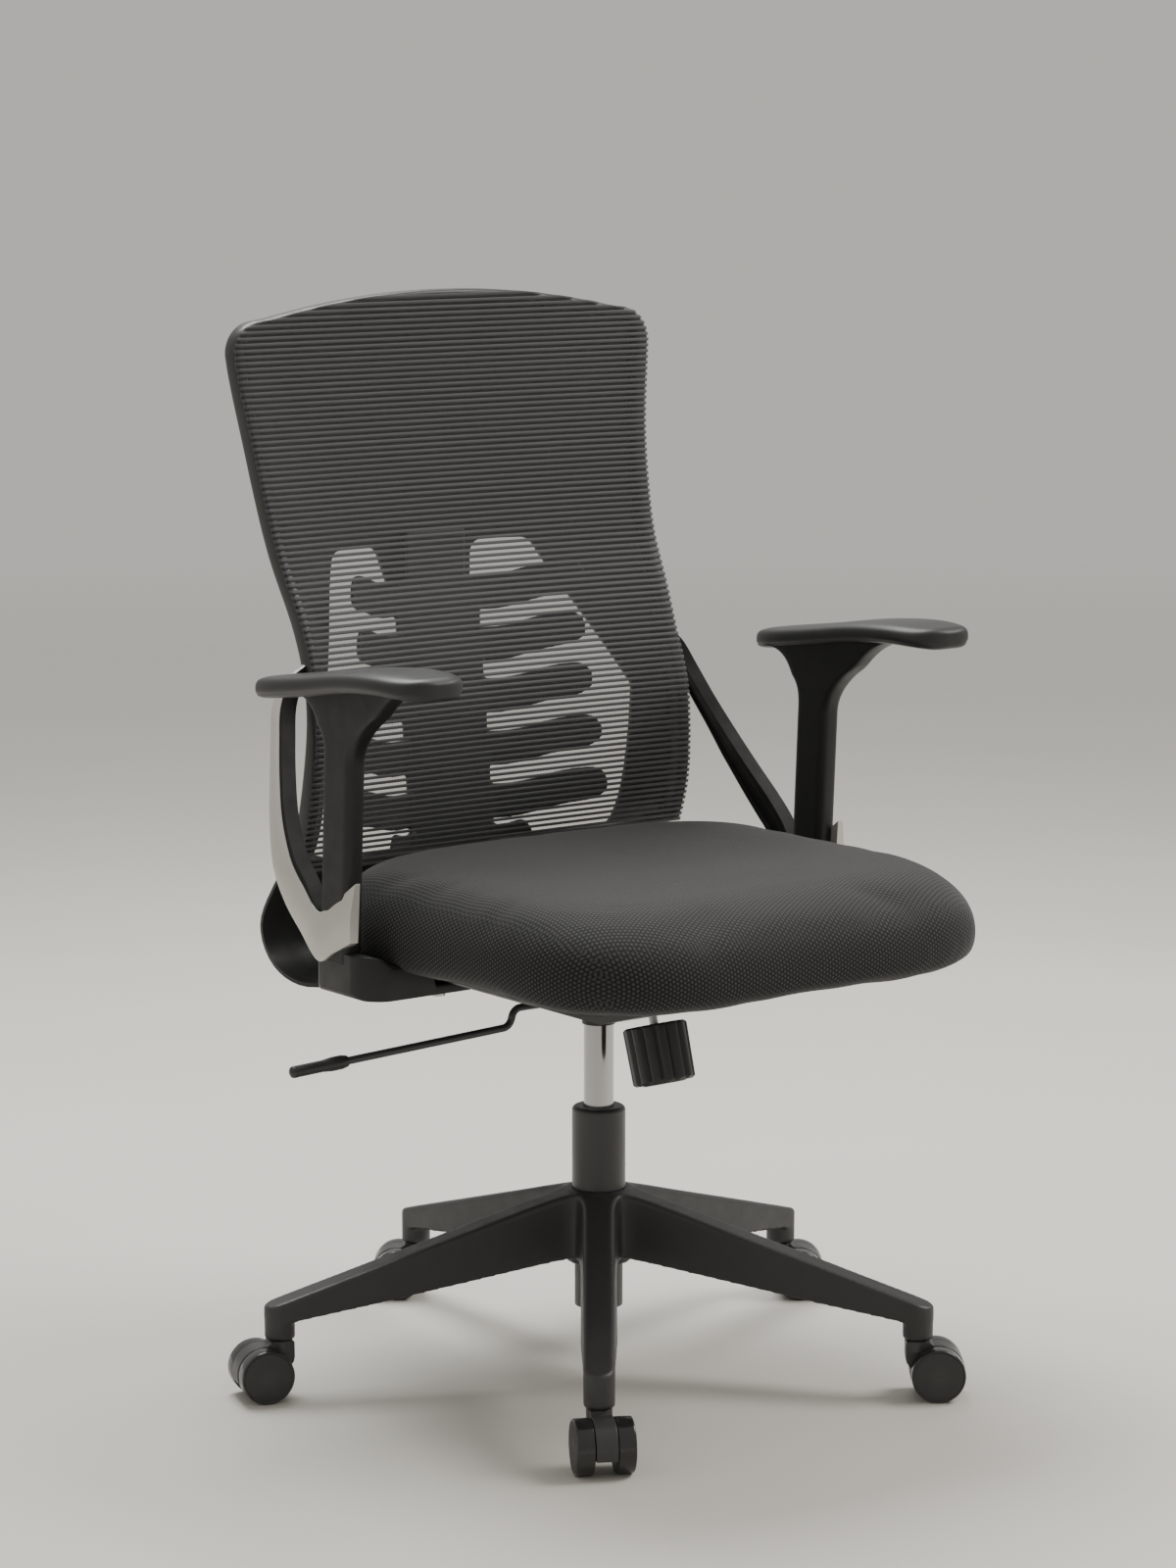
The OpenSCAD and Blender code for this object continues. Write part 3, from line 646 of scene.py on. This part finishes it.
def caster_place(n):
    """Where caster n stands, drawn with its stem on the Z axis and its wheels trailing along +X."""
    stem = caster_joints[n - 1]["pos_m"]
    turn = Matrix.Rotation(radians(caster_heading[n - 1]), 4, "Z")
    return Matrix.Translation((stem[0], stem[1], 0)) @ turn


def arc(cx, cz, r, start, end, count):
    """Points along an arc between two angles in degrees."""
    return [(cx + r * cos(radians(start + (end - start) * t)),
             cz + r * sin(radians(start + (end - start) * t))) for t in steps(count)]


def hood_shape():
    """The hood's side outline: a neck under the stem that turns over between the wheels as a fender."""
    r = wheel_d / 2 + 0.4
    outline = arc(trail, axle_z, r, -18, 98, 18) + [(11.6, 52), (10.6, 53.4), (-10.6, 53.4), (-11.6, 52)]
    outline += [(-11.6, 38), (-10.8, 34)] + arc(trail, axle_z, r, 172, 198, 4)
    return loft([[(x, y, z) for x, z in outline] for y in (-hood_w / 2, hood_w / 2)])


def wheel_shape(side):
    """A wheel: a polished tread, and a flat face with a fine step round it."""
    r = wheel_d / 2
    profile = ([(4.2, 0), (r - 1.2, 0)] + arc(r - 1.2, 1.2, 1.2, 270, 360, 3)[1:]
               + arc(r - 1.8, wheel_w - 1.8, 1.8, 0, 80, 5)
               + [(r - 2.3, wheel_w - 0.5), (r - 2.8, wheel_w - 0.1), (r - 3.4, wheel_w), (12, wheel_w),
                  (0.4, wheel_w), (0.4, wheel_w - 3), (4.2, wheel_w - 3)])
    shift = Matrix.Translation((trail, side * (hood_w / 2 + wheel_gap), axle_z))
    return turned(lathe(profile, 72), shift @ Matrix.Rotation(radians(-90 * side), 4, "X"))


def casters():
    for n in range(1, 6):
        place = caster_place(n)
        hood = new_piece(f"caster_{n}_fork", hood_shape(), looks["hood"], f"caster_{n}",
                         [f"caster_{n}_hood"], place)
        rounded(hood, 1.6, 3)
        collar = lathe([(core_r, 44), (11.75, 44), (11.75, 53.5), (11, 54.3), (core_r, 54.3)], 48)
        new_piece(f"caster_{n}_collar", collar, looks["hood"], f"caster_{n}", (), place)
        for letter, side in (("a", -1), ("b", 1)):
            cad_name = f"caster_{n}_wheel_{letter}"
            wheel = new_piece(f"caster_{n}_roller_{letter}", wheel_shape(side), looks["tread"],
                              f"wheel_{n}{letter}", [cad_name], place, 25)
            paint_wheel_face(wheel, place)


def paint_wheel_face(wheel, place):
    """The parts of a wheel inside its tread take the matt look."""
    wheel.data.materials.append(looks["disc"])
    back = place.inverted()
    for face in wheel.data.polygons:
        spot = back @ face.center / MM
        if hypot(spot.x - trail, spot.z - axle_z) < wheel_d / 2 - 2.4:
            face.material_index = 1


casters()


# -------- mechanism and lever

def knob():
    """The tension knob: rounded grips between deep flutes, with softened ends."""
    joint = next(j for j in frame["joints"] if j["name"] == "tension_turn")
    knob_r = (knob_high[0] - knob_low[0]) / 2
    knob_len = 54
    flutes = 14
    rings = []
    for t in steps(28):
        z = knob_len * (t - 0.5)
        near_end = clamp((knob_len / 2 - abs(z)) / 3)
        r = knob_r - 0.9 * (1 - t) - 3 * (1 - sqrt(1 - (1 - near_end) ** 2))
        ring = []
        for a in turns(flutes * 10):
            groove = (0.5 + 0.5 * cos(flutes * a)) ** 3
            depth = 2.8 * groove * near_end ** 0.3
            ring.append(((r - depth) * cos(a), (r - depth) * sin(a), z))
        rings.append(ring)
    tilt = Vector((0, 0, 1)).rotation_difference(Vector(joint["axis"])).to_matrix().to_4x4()
    place = Matrix.Translation(joint["pos_m"]) @ tilt
    new_piece("tension_grip", loft(rings), looks["small"], "knob", ["tension_knob"], place)
    foot = -knob_len / 2
    cap = lathe([(core_r, foot - 1), (19, foot - 1), (20.5, foot), (20.5, foot + 2), (core_r, foot + 2)], 48)
    new_piece("tension_cap", cap, looks["pan"], "knob", (), place)


def tube(path, radii, sides=20):
    """A round bar along path, with a radius at each point."""
    points = [Vector(p) for p in path]
    rings = []
    for i, p in enumerate(points):
        along = (points[min(i + 1, len(points) - 1)] - points[max(i - 1, 0)]).normalized()
        across = Vector((0, 1, 0)).cross(along).normalized()
        up = along.cross(across)
        rings.append([tuple(p + radii[i] * (across * cos(a) + up * sin(a)))
                      for a in turns(sides)])
    return loft(rings)


def lever():
    """The lever's bent rod and its ribbed grip."""
    bush_low, bush_high = span("lever_bush")
    rod_high = span("lever_rod")[1]
    top_z = (bush_low[2] + bush_high[2]) / 2
    low_z, bend, drop_x = 339, 10, -100
    end = Vector((-342, 0, 329))
    elbow = Vector((drop_x - bend, 0, low_z))
    away = (elbow - end).normalized()
    line = [(rod_high[0], 0, top_z), (-60, 0, top_z)]
    line += [(x, 0, z) for x, z in arc(drop_x + bend, top_z - bend, bend, 90, 180, 8)]
    line += [(x, 0, z) for x, z in arc(drop_x - bend, low_z + bend, bend, 0, -90, 8)]
    line += [tuple(end + 4 * away)]
    rod_r = 3.5
    bar = tube(line, [rod_r] * len(line))
    new_piece("lever_bar", bar, looks["coat"], "lever", ["lever_rod"])
    length = 60
    path, radii = [], []
    for t in steps(60):
        along = length * t
        path.append(tuple(end + along * away))
        round_end = sqrt(1 - (1 - clamp(along / 3)) ** 2)
        swell = 5.4 + 1.0 * clamp((along - 34) / 10) - 1.2 * clamp((along - 54) / 6)
        ribs = 0.3 * max(0, sin(2 * pi * along / 4)) if 8 < along < 36 else 0
        radii.append(max(0.6, swell * round_end - ribs))
    new_piece("lever_handle", tube(path, radii, 28), looks["small"], "lever", ["lever_grip"])


knob()
lever()


# -------- seat

seat_half_w = seat_high[0]
seat_front = -seat_low[1]
seat_rear = seat_high[1]
seat_bottom = seat_low[2]
seat_top = seat_high[2]
seat_mid_y = (seat_rear - seat_front) / 2
seat_half_l = (seat_rear + seat_front) / 2


def plan_point(a, inset):
    """A point of the seat's plan at angle a, drawn in from its greatest outline by inset."""
    c, s = cos(a), sin(a)
    exponent = 0.42 if s > 0 else 0.45
    side = 1 - 0.16 * s ** 4 if s > 0 else 1 - 0.03 * s ** 2
    return ((seat_half_w - inset) * side * power(c, exponent),
            seat_mid_y + (seat_half_l - inset) * power(s, exponent))


# The cushion's edge from its underside to its top, as (inset, height), at the sides and at the front
side_profile = [(12, 408), (4, 413), (1, 422), (0, 436), (1.5, 450), (6, 463), (14, 474), (26, 482.5),
                (42, 487.5), (64, 490)]
front_profile = [(14, 408), (6, 412), (2, 419), (0, 430), (2, 443), (8, 456), (19, 467.5), (36, 477),
                 (58, 484), (86, 488.5)]


def cushion_shape():
    """Rings round the cushion's edge, then rings that close its crown."""
    rings = []
    for (si, sz), (fi, fz) in zip(side_profile, front_profile):
        ring = []
        for a in turns(180):
            f = clamp(-sin(a)) ** 2
            x, y = plan_point(a, si + (fi - si) * f)
            z = sz + (fz - sz) * f
            lifted = 8 * clamp((450 - z) / 40) * exp(-((y + 150) / 75) ** 2) * (x / seat_half_w) ** 4
            ring.append((x, y, z + lifted))
        rings.append(ring)
    rim = rings[-1]
    for t in (0.15, 0.32, 0.5, 0.68, 0.86, 0.97):
        ring = []
        for x, y, z in rim:
            px, py = x * (1 - t), seat_mid_y + (y - seat_mid_y) * (1 - t)
            ring.append((px, py, z + (seat_top - 0.5 - z) * sin(pi / 2 * min(1, 1.6 * t))))
        rings.append(ring)
    return loft(rings)


def settle(piece, pressure, voxel, cap):
    """Fills a piece like foam under a cover. The cloth simulation moves no point by more than cap."""
    fused(piece, voxel)
    applied(piece)
    start = [v.co.copy() for v in piece.data.vertices]
    cloth = piece.modifiers.new("Cover", "CLOTH")
    cloth.settings.use_pressure = True
    cloth.settings.uniform_pressure_force = pressure
    cloth.settings.effector_weights.gravity = 0
    cloth.settings.quality = 5
    cloth.settings.tension_stiffness = 25
    cloth.settings.compression_stiffness = 25
    frames = 20
    cloth.point_cache.frame_end = frames
    scene = bpy.context.scene
    for step in range(1, frames + 1):
        scene.frame_set(step)
    graph = bpy.context.evaluated_depsgraph_get()
    moved = [v.co.copy() for v in piece.evaluated_get(graph).data.vertices]
    piece.modifiers.clear()
    scene.frame_set(1)
    for vertex, old, new in zip(piece.data.vertices, start, moved):
        shift = new - old
        if shift.length > cap * MM:
            shift = shift.normalized() * cap * MM
        vertex.co = old + shift
    softened(piece, 10)


def regrow(piece, across=1.016, along=1.022):
    """Gives back what the smoothing took off the cushion's width and length."""
    for vertex in piece.data.vertices:
        vertex.co.x *= across
        vertex.co.y = seat_mid_y * MM + (vertex.co.y - seat_mid_y * MM) * along


def shape_cushion(piece):
    """The sitter's dish and slight unevenness of the foam."""
    for vertex in piece.data.vertices:
        x, y, z = vertex.co / MM
        above = clamp((z - seat_bottom - 30) / 40)
        dish = 5 * exp(-((x / 150) ** 2 + ((y + 60) / 120) ** 2))
        uneven = 1.2 * noise.noise(Vector((x, y, z)) / 90)
        z = z - above * dish + above * uneven
        vertex.co.z = min(z, seat_top + 4) * MM


def seat():
    """The cushion and the pan under it."""
    cushion = new_piece("seat_pad", cushion_shape(), looks["seat"], "seat", ["seat_cushion"])
    settle(cushion, pressure=4, voxel=6, cap=5)
    regrow(cushion)
    shape_cushion(cushion)
    shade(cushion.data)
    fine = cushion.modifiers.new("Fine", "SUBSURF")
    fine.levels = fine.render_levels = 1
    rings = []
    thick = pan_high[2] - pan_low[2]
    pan_inset, pan_front = 52, -232
    for inset, z in ((62, 0), (55, 1), (pan_inset, 4), (pan_inset, thick), (62, thick)):
        ring = []
        for a in turns(120):
            x, y = plan_point(a, inset)
            ring.append((x, max(y, pan_front + inset - pan_inset), pan_low[2] + z))
        rings.append(ring)
    new_piece("seat_pan", loft(rings), looks["pan"], "seat", ["seat_shell"])


seat()


# -------- back

border_h = 3.5
border_start = 0.86


def shell_y(row, u):
    """Depth at a fraction u across; a raised border runs down both sides."""
    border = border_h * clamp((abs(u) - border_start) / 0.04)
    return row[2] + (row[1] - row[2]) * (1 - abs(u) ** 2.2) - border


def shell_rows(parts):
    """The rows of shell_line with parts steps between each two of them."""
    last = len(shell_line) - 1
    columns = [[[j, shell_line[j][k]] for j in range(last + 1)] for k in range(4)]
    return [[curve(column, i / parts) for column in columns] for i in range(last * parts + 1)]


def shell_face(rows, across, t):
    """One face of the shell, moved by t along the row's own normal in the side plane."""
    face = []
    for i, row in enumerate(rows):
        a, b = rows[max(i - 1, 0)], rows[min(i + 1, len(rows) - 1)]
        along = Vector((b[1] - a[1], b[0] - a[0])).normalized()
        arch = 22 * max(0, (row[0] - 800) / 180)
        face.append([(row[3] * u, shell_y(row, u) - along[1] * t, row[0] - arch * abs(u) ** 2 + along[0] * t)
                     for u in [j / across for j in range(-across, across + 1)]])
    return face


def window_points():
    """The window's outline in x and z, seen from the front, with a tongue left standing at its top."""
    half = []
    corners = ((158, window_low + 18, 18, 270, 355), (168, 610, 12, -5, 30),
               (106, window_high - 14, 14, 30, 90), (tongue_w + 20, window_high - 14, 14, 90, 175))
    for cx, cz, r, start, end in corners:
        half += arc(cx, cz, r, start, end, 6)
    half.append((tongue_w, 712))
    return half + [(-x, z) for x, z in reversed(half)]


def back_shell():
    """The shell: two faces joined at their edges, with the window cut out."""
    rows = shell_rows(5)
    front = shell_face(rows, 20, 0)
    back = shell_face(rows, 20, shell_t)
    shape = loft([f + b[::-1] for f, b in zip(front, back)])
    shell = new_piece("back_panel", shape, looks["shell"], "seat", ["back_shell"])
    hole = loft([[(x, y, z) for x, z in window_points()] for y in (100, 320)])
    cutter = linked("window_cutter", mesh_of("window_cutter", hole, weld=False))
    cut = shell.modifiers.new("Window", "BOOLEAN")
    cut.operation = "DIFFERENCE"
    cut.solver = "EXACT"
    cut.object = cutter
    applied(shell)
    bpy.data.objects.remove(cutter)
    shade(shell.data, 35)
    rounded(shell, 0.9, 2, 50)


def arch_z(x):
    """Height of the rim's top edge at x."""
    return back_top - arch_drop * (x / arch_half_w) ** 2


def rim_outline():
    """The rim's outer edge, seen from the front, all the way round."""
    half = [(curve(edge_w_at, z), z) for z in [rim_low + (corner_z - rim_low) * t for t in steps(46)]]
    half += [(corner_x + corner_r * cos(a), corner_z + corner_r * sin(a))
             for a in [radians(6 * k) for k in range(1, 16)]]
    half += [(195 - 13 * k, arch_z(195 - 13 * k)) for k in range(15)]
    low_z = rim_low - rim_foot
    low = [(15 * k, low_z) for k in range(13)]
    return low + half + [(-x, z) for x, z in reversed(half)] + [(-x, z) for x, z in reversed(low[1:])]


def mesh_rim():
    """The rim: a rounded bar that follows the back's outline, its front face set back a little towards its
    inner edge.
    """
    path = [Vector(p) for p in rim_outline()]
    count = len(path)
    rings = []
    for i, p in enumerate(path):
        along = path[(i + 1) % count] - path[(i - 1) % count]
        inward = Vector((-along[1], along[0])).normalized()
        y = curve(edge_y_at, p[1])
        ring = []
        for a in turns(20):
            across = rim_w / 2 - rim_w / 2 * power(cos(a), 0.55)
            depth = rim_depth / 2 + 0.8 - (rim_depth / 2 - 1.0) * power(sin(a), 0.55)
            if sin(a) > 0.5:
                depth += 1.2 * across / rim_w
            q = p + across * inward
            ring.append((q[0], y + depth, q[1]))
        rings.append(ring)
    new_piece("back_rim", loft(rings, closed=True), looks["rim"], "seat", ["mesh_rim"])


def mesh_half_w(z):
    """Half the width of the rim's outline at height z."""
    if z < corner_z:
        return curve(edge_w_at, z)
    if z < corner_z + corner_r:
        return corner_x + sqrt(corner_r ** 2 - (z - corner_z) ** 2)
    return arch_half_w * sqrt(max(0, (back_top - z) / arch_drop))


flat_share = 0.985  # past this share of its half width the mesh turns back into the rim


def mesh_point(u, z, lift=0.0):
    """A point of the stretched mesh at a fraction u across and height z, moved forward by lift."""
    x = mesh_half_w(z) * u
    bow = mesh_bow * (1 - u * u) * sin(pi * clamp((z - rim_low) / (back_top - rim_low)))
    wrap = 3.2 * clamp((abs(u) - flat_share) / 0.015) ** 2
    return (x, curve(edge_y_at, z) - 0.2 + bow + wrap - lift, z)


band_pitch = 5.6
band_h = 3.0
# Across a band: share of its height, and how far it stands in front of the net
band_section = ((-0.5, 0.15), (-0.3, 0.5), (0, 0.62), (0.3, 0.5), (0.5, 0.15))


def back_mesh():
    """A sheer net with close-knit bands woven into it, one piece of geometry per band."""
    low, high = rim_low - 8, back_top - 0.6
    across = [-1, -0.9925] + [-flat_share + 2 * flat_share * t for t in steps(44)] + [0.9925, 1]
    rows = [[mesh_point(u, low + (high - low) * t) for u in across] for t in steps(104)]
    net = new_piece("back_net", grid(rows), looks["sheer"], "seat", ["back_mesh"], crease=180)
    bands = []
    z = low + band_pitch / 2
    while z < high - 2:
        bands.append(grid([[mesh_point(u, z + shift * band_h, lift) for u in across]
                           for shift, lift in band_section]))
        z += band_pitch
    knit = new_piece("back_bands", joined(*bands), looks["band"], "seat", crease=180)


def spine_y(z):
    """Distance of the spine's front face behind the column, at height z."""
    return 231 + 0.105 * (z - 460)


def rib_shape(z, reach, side):
    """A rib: level at the column, then forward and up to a lobe whose lower corner is the rounder one."""
    wrap, rise = (56, 14) if reach > 100 else (16, 2)

    def round_off(x, r):
        return sqrt(max(0, 1 - (max(0, x - reach + r) / r) ** 2))

    rings = []
    root = column_half_w - 4
    for t in steps(48):
        x = root + (reach - 0.2 - root) * sin(pi / 2 * t)
        out = clamp((x - column_half_w) / (reach - column_half_w))
        y = spine_y(z) - wrap * out ** 1.4
        middle = z + rise * out * out * (3 - 2 * out)
        wave = 1.5 * sin(2 * pi * out) * clamp(5 * (1 - out))
        low = middle - rib_half_h * round_off(x, 24) - wave
        high = middle + rib_half_h * round_off(x, 11) - wave
        rings.append([(side * x, y, low), (side * x, y + spine_t, low),
                      (side * x, y + spine_t, high), (side * x, y, high)])
    return loft(rings)


def block(low, high):
    (x0, y0, z0), (x1, y1, z1) = low, high
    return loft([[(x0, y0, z), (x1, y0, z), (x1, y1, z), (x0, y1, z)] for z in (z0, z1)])


def lumbar_spine():
    """The spine: column, ribs, upper tab and brackets, fused into one moulding."""
    low, high, tab_top = 444, 722, 768
    column = loft([[(-column_half_w, spine_y(z), z), (column_half_w, spine_y(z), z),
                    (column_half_w, spine_y(z) + spine_t, z), (-column_half_w, spine_y(z) + spine_t, z)]
                   for z in (low, high)])
    shapes = [column] + [rib_shape(z, reach, side) for z, reach in rib_rows for side in (-1, 1)]
    top_y, low_y = spine_y(high), spine_y(low)
    shapes.append(block((-34, top_y, high - 6), (34, top_y + spine_t, tab_top)))
    shapes.append(block((-24, top_y + 1, window_high + 2), (24, top_y + 26, window_high + 14)))
    shapes.append(block((-40, low_y + 2, low), (40, low_y + 17, low + 12)))
    piece = new_piece("lumbar_frame", joined(*shapes), looks["spine"], "seat",
                      ["lumbar_spine", "lumbar_ribs"])
    moulded(piece, 1.5, 2)


back_shell()
mesh_rim()
back_mesh()
lumbar_spine()


# -------- arms

post_low = 428
flare_low = 596
flare_front_h = 79
flare_rear_h = 54
pad_front = pad_low[1]
pad_rear = pad_high[1]
pad_len = pad_rear - pad_front
pad_x = (pad_low[0] + pad_high[0]) / 2
# Height of the pad's middle along its length, as [y, height]
pad_mid_at = [[-160, 682.5], [-110, 684], [-54, 680], [20, 669], [110, 656.5]]


def post_front(z):
    """Y of the post's front edge at height z."""
    return -8 - 0.05 * (z - 580) - 108 * max(0, (z - flare_low) / flare_front_h) ** 2.2


def post_rear(z):
    """Y of the post's rear edge at height z."""
    return 36 - 0.05 * (z - 580) + 55 * max(0, (z - flare_low) / flare_rear_h) ** 3.3


def post_shape():
    """The post: a plain bar that flares to carry the pad, with rounded corners all the way up."""
    inner, outer = arm_x - arm_w / 2, arm_x + arm_w / 2 - trim_t
    corner = 7
    rings = []
    levels = [(z, z) for z in (post_low - 10, post_low, 470, 500, 540, 570, flare_low)]
    levels += [(flare_low + flare_front_h * t, flare_low + flare_rear_h * t) for t in steps(26)[1:]]
    for zf, zr in levels:
        yf, yr = post_front(zf), post_rear(zr)
        spread = clamp((zf - flare_low - 50) / 29)
        ring = []

        def add(x, y):
            z = zf + (zr - zf) * clamp((y - yf) / (yr - yf))
            ring.append((x, y, z + spread * max(0, curve(pad_mid_at, y) - 6 - z)))

        for cx, cy, start in ((outer - corner, yf + corner, 270), (outer - corner, yr - corner, 0),
                              (inner + corner, yr - corner, 90), (inner + corner, yf + corner, 180)):
            for x, y in arc(cx, cy, corner, start, start + 90, 4):
                add(x, y)
            if start in (270, 90):
                near, far = (yf + corner, yr - corner) if start == 270 else (yr - corner, yf + corner)
                for t in steps(14)[1:-1]:
                    add(outer if start == 270 else inner, near + (far - near) * t)
        rings.append(ring)
    return loft(rings)


def pad_shape():
    """The pad: a broad front lobe, a rounded top, and a groove above a thin lower lip."""
    rings = []
    for t in [0.5 - 0.5 * cos(pi * s) for s in steps(60)]:
        t = clamp(t, 0.0008, 0.9992)
        y = pad_front + pad_len * t
        w = (30 + 15 * (1 - t) ** 1.5) * max(0.004, 1 - abs(2 * t - 1) ** 5) ** 0.4
        mid = curve(pad_mid_at, y)
        edge = clamp(w / 26)
        ring = []
        for a in turns(48):
            c, s = cos(-a), sin(-a)
            across = w * power(c, 0.42)
            groove = 1.0 * exp(-((s + 0.42) / 0.16) ** 2) * edge if abs(c) > 0.3 else 0
            across -= copysign(groove, c)
            high = (11.0 if s > 0 else 9.5) * power(s, 0.75) * edge ** 0.5
            ring.append((pad_x + across, y, mid + high))
        rings.append(ring)
    return loft(rings)


def v_station(s):
    """The trim's outer face, front edge and rear edge at a fraction s along v_line."""
    last = len(v_line) - 1
    columns = [[[j, row[0]] for j, row in enumerate(v_line)]]
    for side in (1, 2):
        for axis in (0, 1):
            columns.append([[j, row[side][axis]] for j, row in enumerate(v_line)])
    x, fy, fz, ry, rz = [curve(column, s * last) for column in columns]
    return x, (fy, fz), (ry, rz)


def toward(a, b, share):
    """The point of the side plane a share of the way from a to b."""
    return a[0] + (b[0] - a[0]) * share, a[1] + (b[1] - a[1]) * share


strut_share = 0.77  # the strut ends this far along v_line


def strut_shape():
    """The strut behind the trim, with a shallow groove down its inner face."""
    rings = []
    for s in [strut_share * t for t in steps(60)]:
        x, f, r = v_station(s)
        narrow = 0.35 * clamp((s - 0.42) / 0.2)
        r = toward(r, f, narrow)
        outer, inner = x - trim_t, x - trim_t - strut_w
        groove = [(inner + deep, *toward(f, r, share))
                  for deep, share in ((0, 0.3), (2.2, 0.38), (2.2, 0.82), (0, 0.88))]
        rings.append([(outer, *f), (inner, *f)] + groove + [(inner, *r), (outer, *r)])
    return loft(rings)


def trim_shape():
    """The silver trim: crowned along the rear limb, folded along the front one, with a deep front end."""
    rings = []
    for t in steps(90):
        x, f, r = v_station(t)
        back = 0.14 * (1 - clamp((t - 0.62) / 0.12))
        f = toward(f, r, back)
        crease = clamp((t - 0.74) / 0.12)
        deep = trim_t + 2.5 * crease + 4.5 * clamp((t - 0.94) / 0.02)
        crown = []
        for share in (1.0, 0.86, 0.7, 0.5, 0.3, 0.14, 0.0):
            bulge = 2.2 * (2 * share - 1) ** 2
            fold = 4.5 * clamp((0.55 - share) / 0.55) + 0.8 * clamp((share - 0.55) / 0.45)
            drop = bulge * (1 - crease) + fold * crease
            crown.append((x - drop, *toward(f, r, share)))
        rings.append([(x - deep, *f), (x - deep, *r)] + crown)
    return loft(rings)


def bracket_shape(top):
    """The foot that carries the post: a thin plate under the seat that sweeps up to the post."""
    rings = []
    outer, inner_end = arm_x + arm_w / 2, 169
    for t in steps(60):
        x = outer - 4 - (outer - inner_end) * t
        rounding = 8 * (1 - sqrt(1 - (1 - clamp(t / 0.08)) ** 2))
        deep = 10 - 3 * (1 - clamp(t / 0.3)) ** 2 - 0.5 * rounding
        sweep = (post_low - top) * (0.5 + 0.5 * cos(pi * clamp((t - 0.08) / 0.5)))
        lift = max(sweep, 21 * (1 - clamp((t - 0.62) / 0.05)))
        front, rear, edge = -28 + 12 * (1 - clamp(t / 0.25)) ** 2 + rounding, 50 - rounding, 3
        ring = []
        for y, z, start in ((rear - edge, top + lift - edge, 0), (front + edge, top + lift - edge, 90),
                            (front + edge, top - deep + edge, 180), (rear - edge, top - deep + edge, 270)):
            ring += [(x, py, pz) for py, pz in arc(y, z, edge, start, start + 90, 4)]
        rings.append(ring)
    return loft(rings)


def mirrored(shape, side):
    """The shape itself for side 1, and its mirror image for side -1."""
    points, faces = shape
    return [(side * x, y, z) for x, y, z in points], faces


def arms():
    for hand, side in (("left", 1), ("right", -1)):
        def made(name, shape, look, hides=()):
            return new_piece(f"{name}_{hand}", mirrored(shape, side), looks[look], "seat", hides)

        post = made("arm_upright", post_shape(), "arm", [f"arm_post_{hand}"])
        rounded(post, 0.8, 2, 60)
        plate_z = pan_low[2]
        made("arm_bracket", bracket_shape(plate_z), "arm")
        strut = made("arm_brace", strut_shape(), "strut", [f"arm_strut_{hand}"])
        rounded(strut, 2.2, 4)
        trim = made("arm_blade", trim_shape(), "silver", [f"arm_trim_{hand}"])
        rounded(trim, 1.1, 3, 30)
        pad = made("arm_rest", pad_shape(), "pad", [f"arm_pad_{hand}"])


arms()


# -------- floor, light and camera

def floor():
    """A pale disc, in metres, that fades out from solid to reach."""
    solid, reach, sides = 2.0, 7.0, 64
    look = Look("pale floor")
    clouds = look.noise(700, 4)
    look.set(Base_Color=look.mix(clouds, (0.60, 0.58, 0.53, 1), (0.68, 0.66, 0.61, 1)), Roughness=0.7)
    x, y = look.parts(look.place)[:2]
    away = look.do("SQRT", look.plus(look.times(x, x), look.times(y, y)))
    look.set(Alpha=look.between(away, 1.0, 0.0, solid, reach))
    mesh = bpy.data.meshes.new("floor")
    mesh.from_pydata([(reach * cos(2 * pi * t), reach * sin(2 * pi * t), 0)
                      for t in steps(sides)[:-1]], [], [tuple(range(sides))])
    mesh.materials.append(look.material)
    plane = linked("floor", mesh)


def soft_light(name, place, size, power_watts, warmth=0.0):
    """A square soft light that points at the chair's middle."""
    data = bpy.data.lights.new(name, "AREA")
    data.shape = "SQUARE"
    data.size = size
    data.energy = power_watts
    data.color = (1, 1 - warmth * 0.4, 1 - warmth)
    light = linked(name, data)
    light.location = place
    aim = Vector((0, 0, 0.55)) - Vector(place)
    light.rotation_euler = aim.to_track_quat("-Z", "Y").to_euler()


def lighting():
    world = bpy.data.worlds.new("room")
    bpy.context.scene.world = world
    world.use_nodes = True
    surround = world.node_tree.nodes["Background"]
    surround.inputs["Color"].default_value = (0.80, 0.78, 0.73, 1)
    surround.inputs["Strength"].default_value = 0.68
    soft_light("key", (2.4, -1.2, 3.0), 1.6, 100, 0.05)
    soft_light("left", (-3.0, 0.6, 1.8), 1.6, 5)
    soft_light("top", (0.2, 1.2, 3.0), 1.6, 110)


def camera():
    data = bpy.data.cameras.new("camera")
    data.lens = 102.955
    data.sensor_width = 36
    eye = linked("camera", data)
    eye.location = (-2.461, -3.254, 1.214)
    tilt_down, heading = 9.181, -36.96
    eye.rotation_euler = (radians(90 - tilt_down), 0, radians(heading))
    bpy.context.scene.camera = eye


floor()
lighting()
camera()
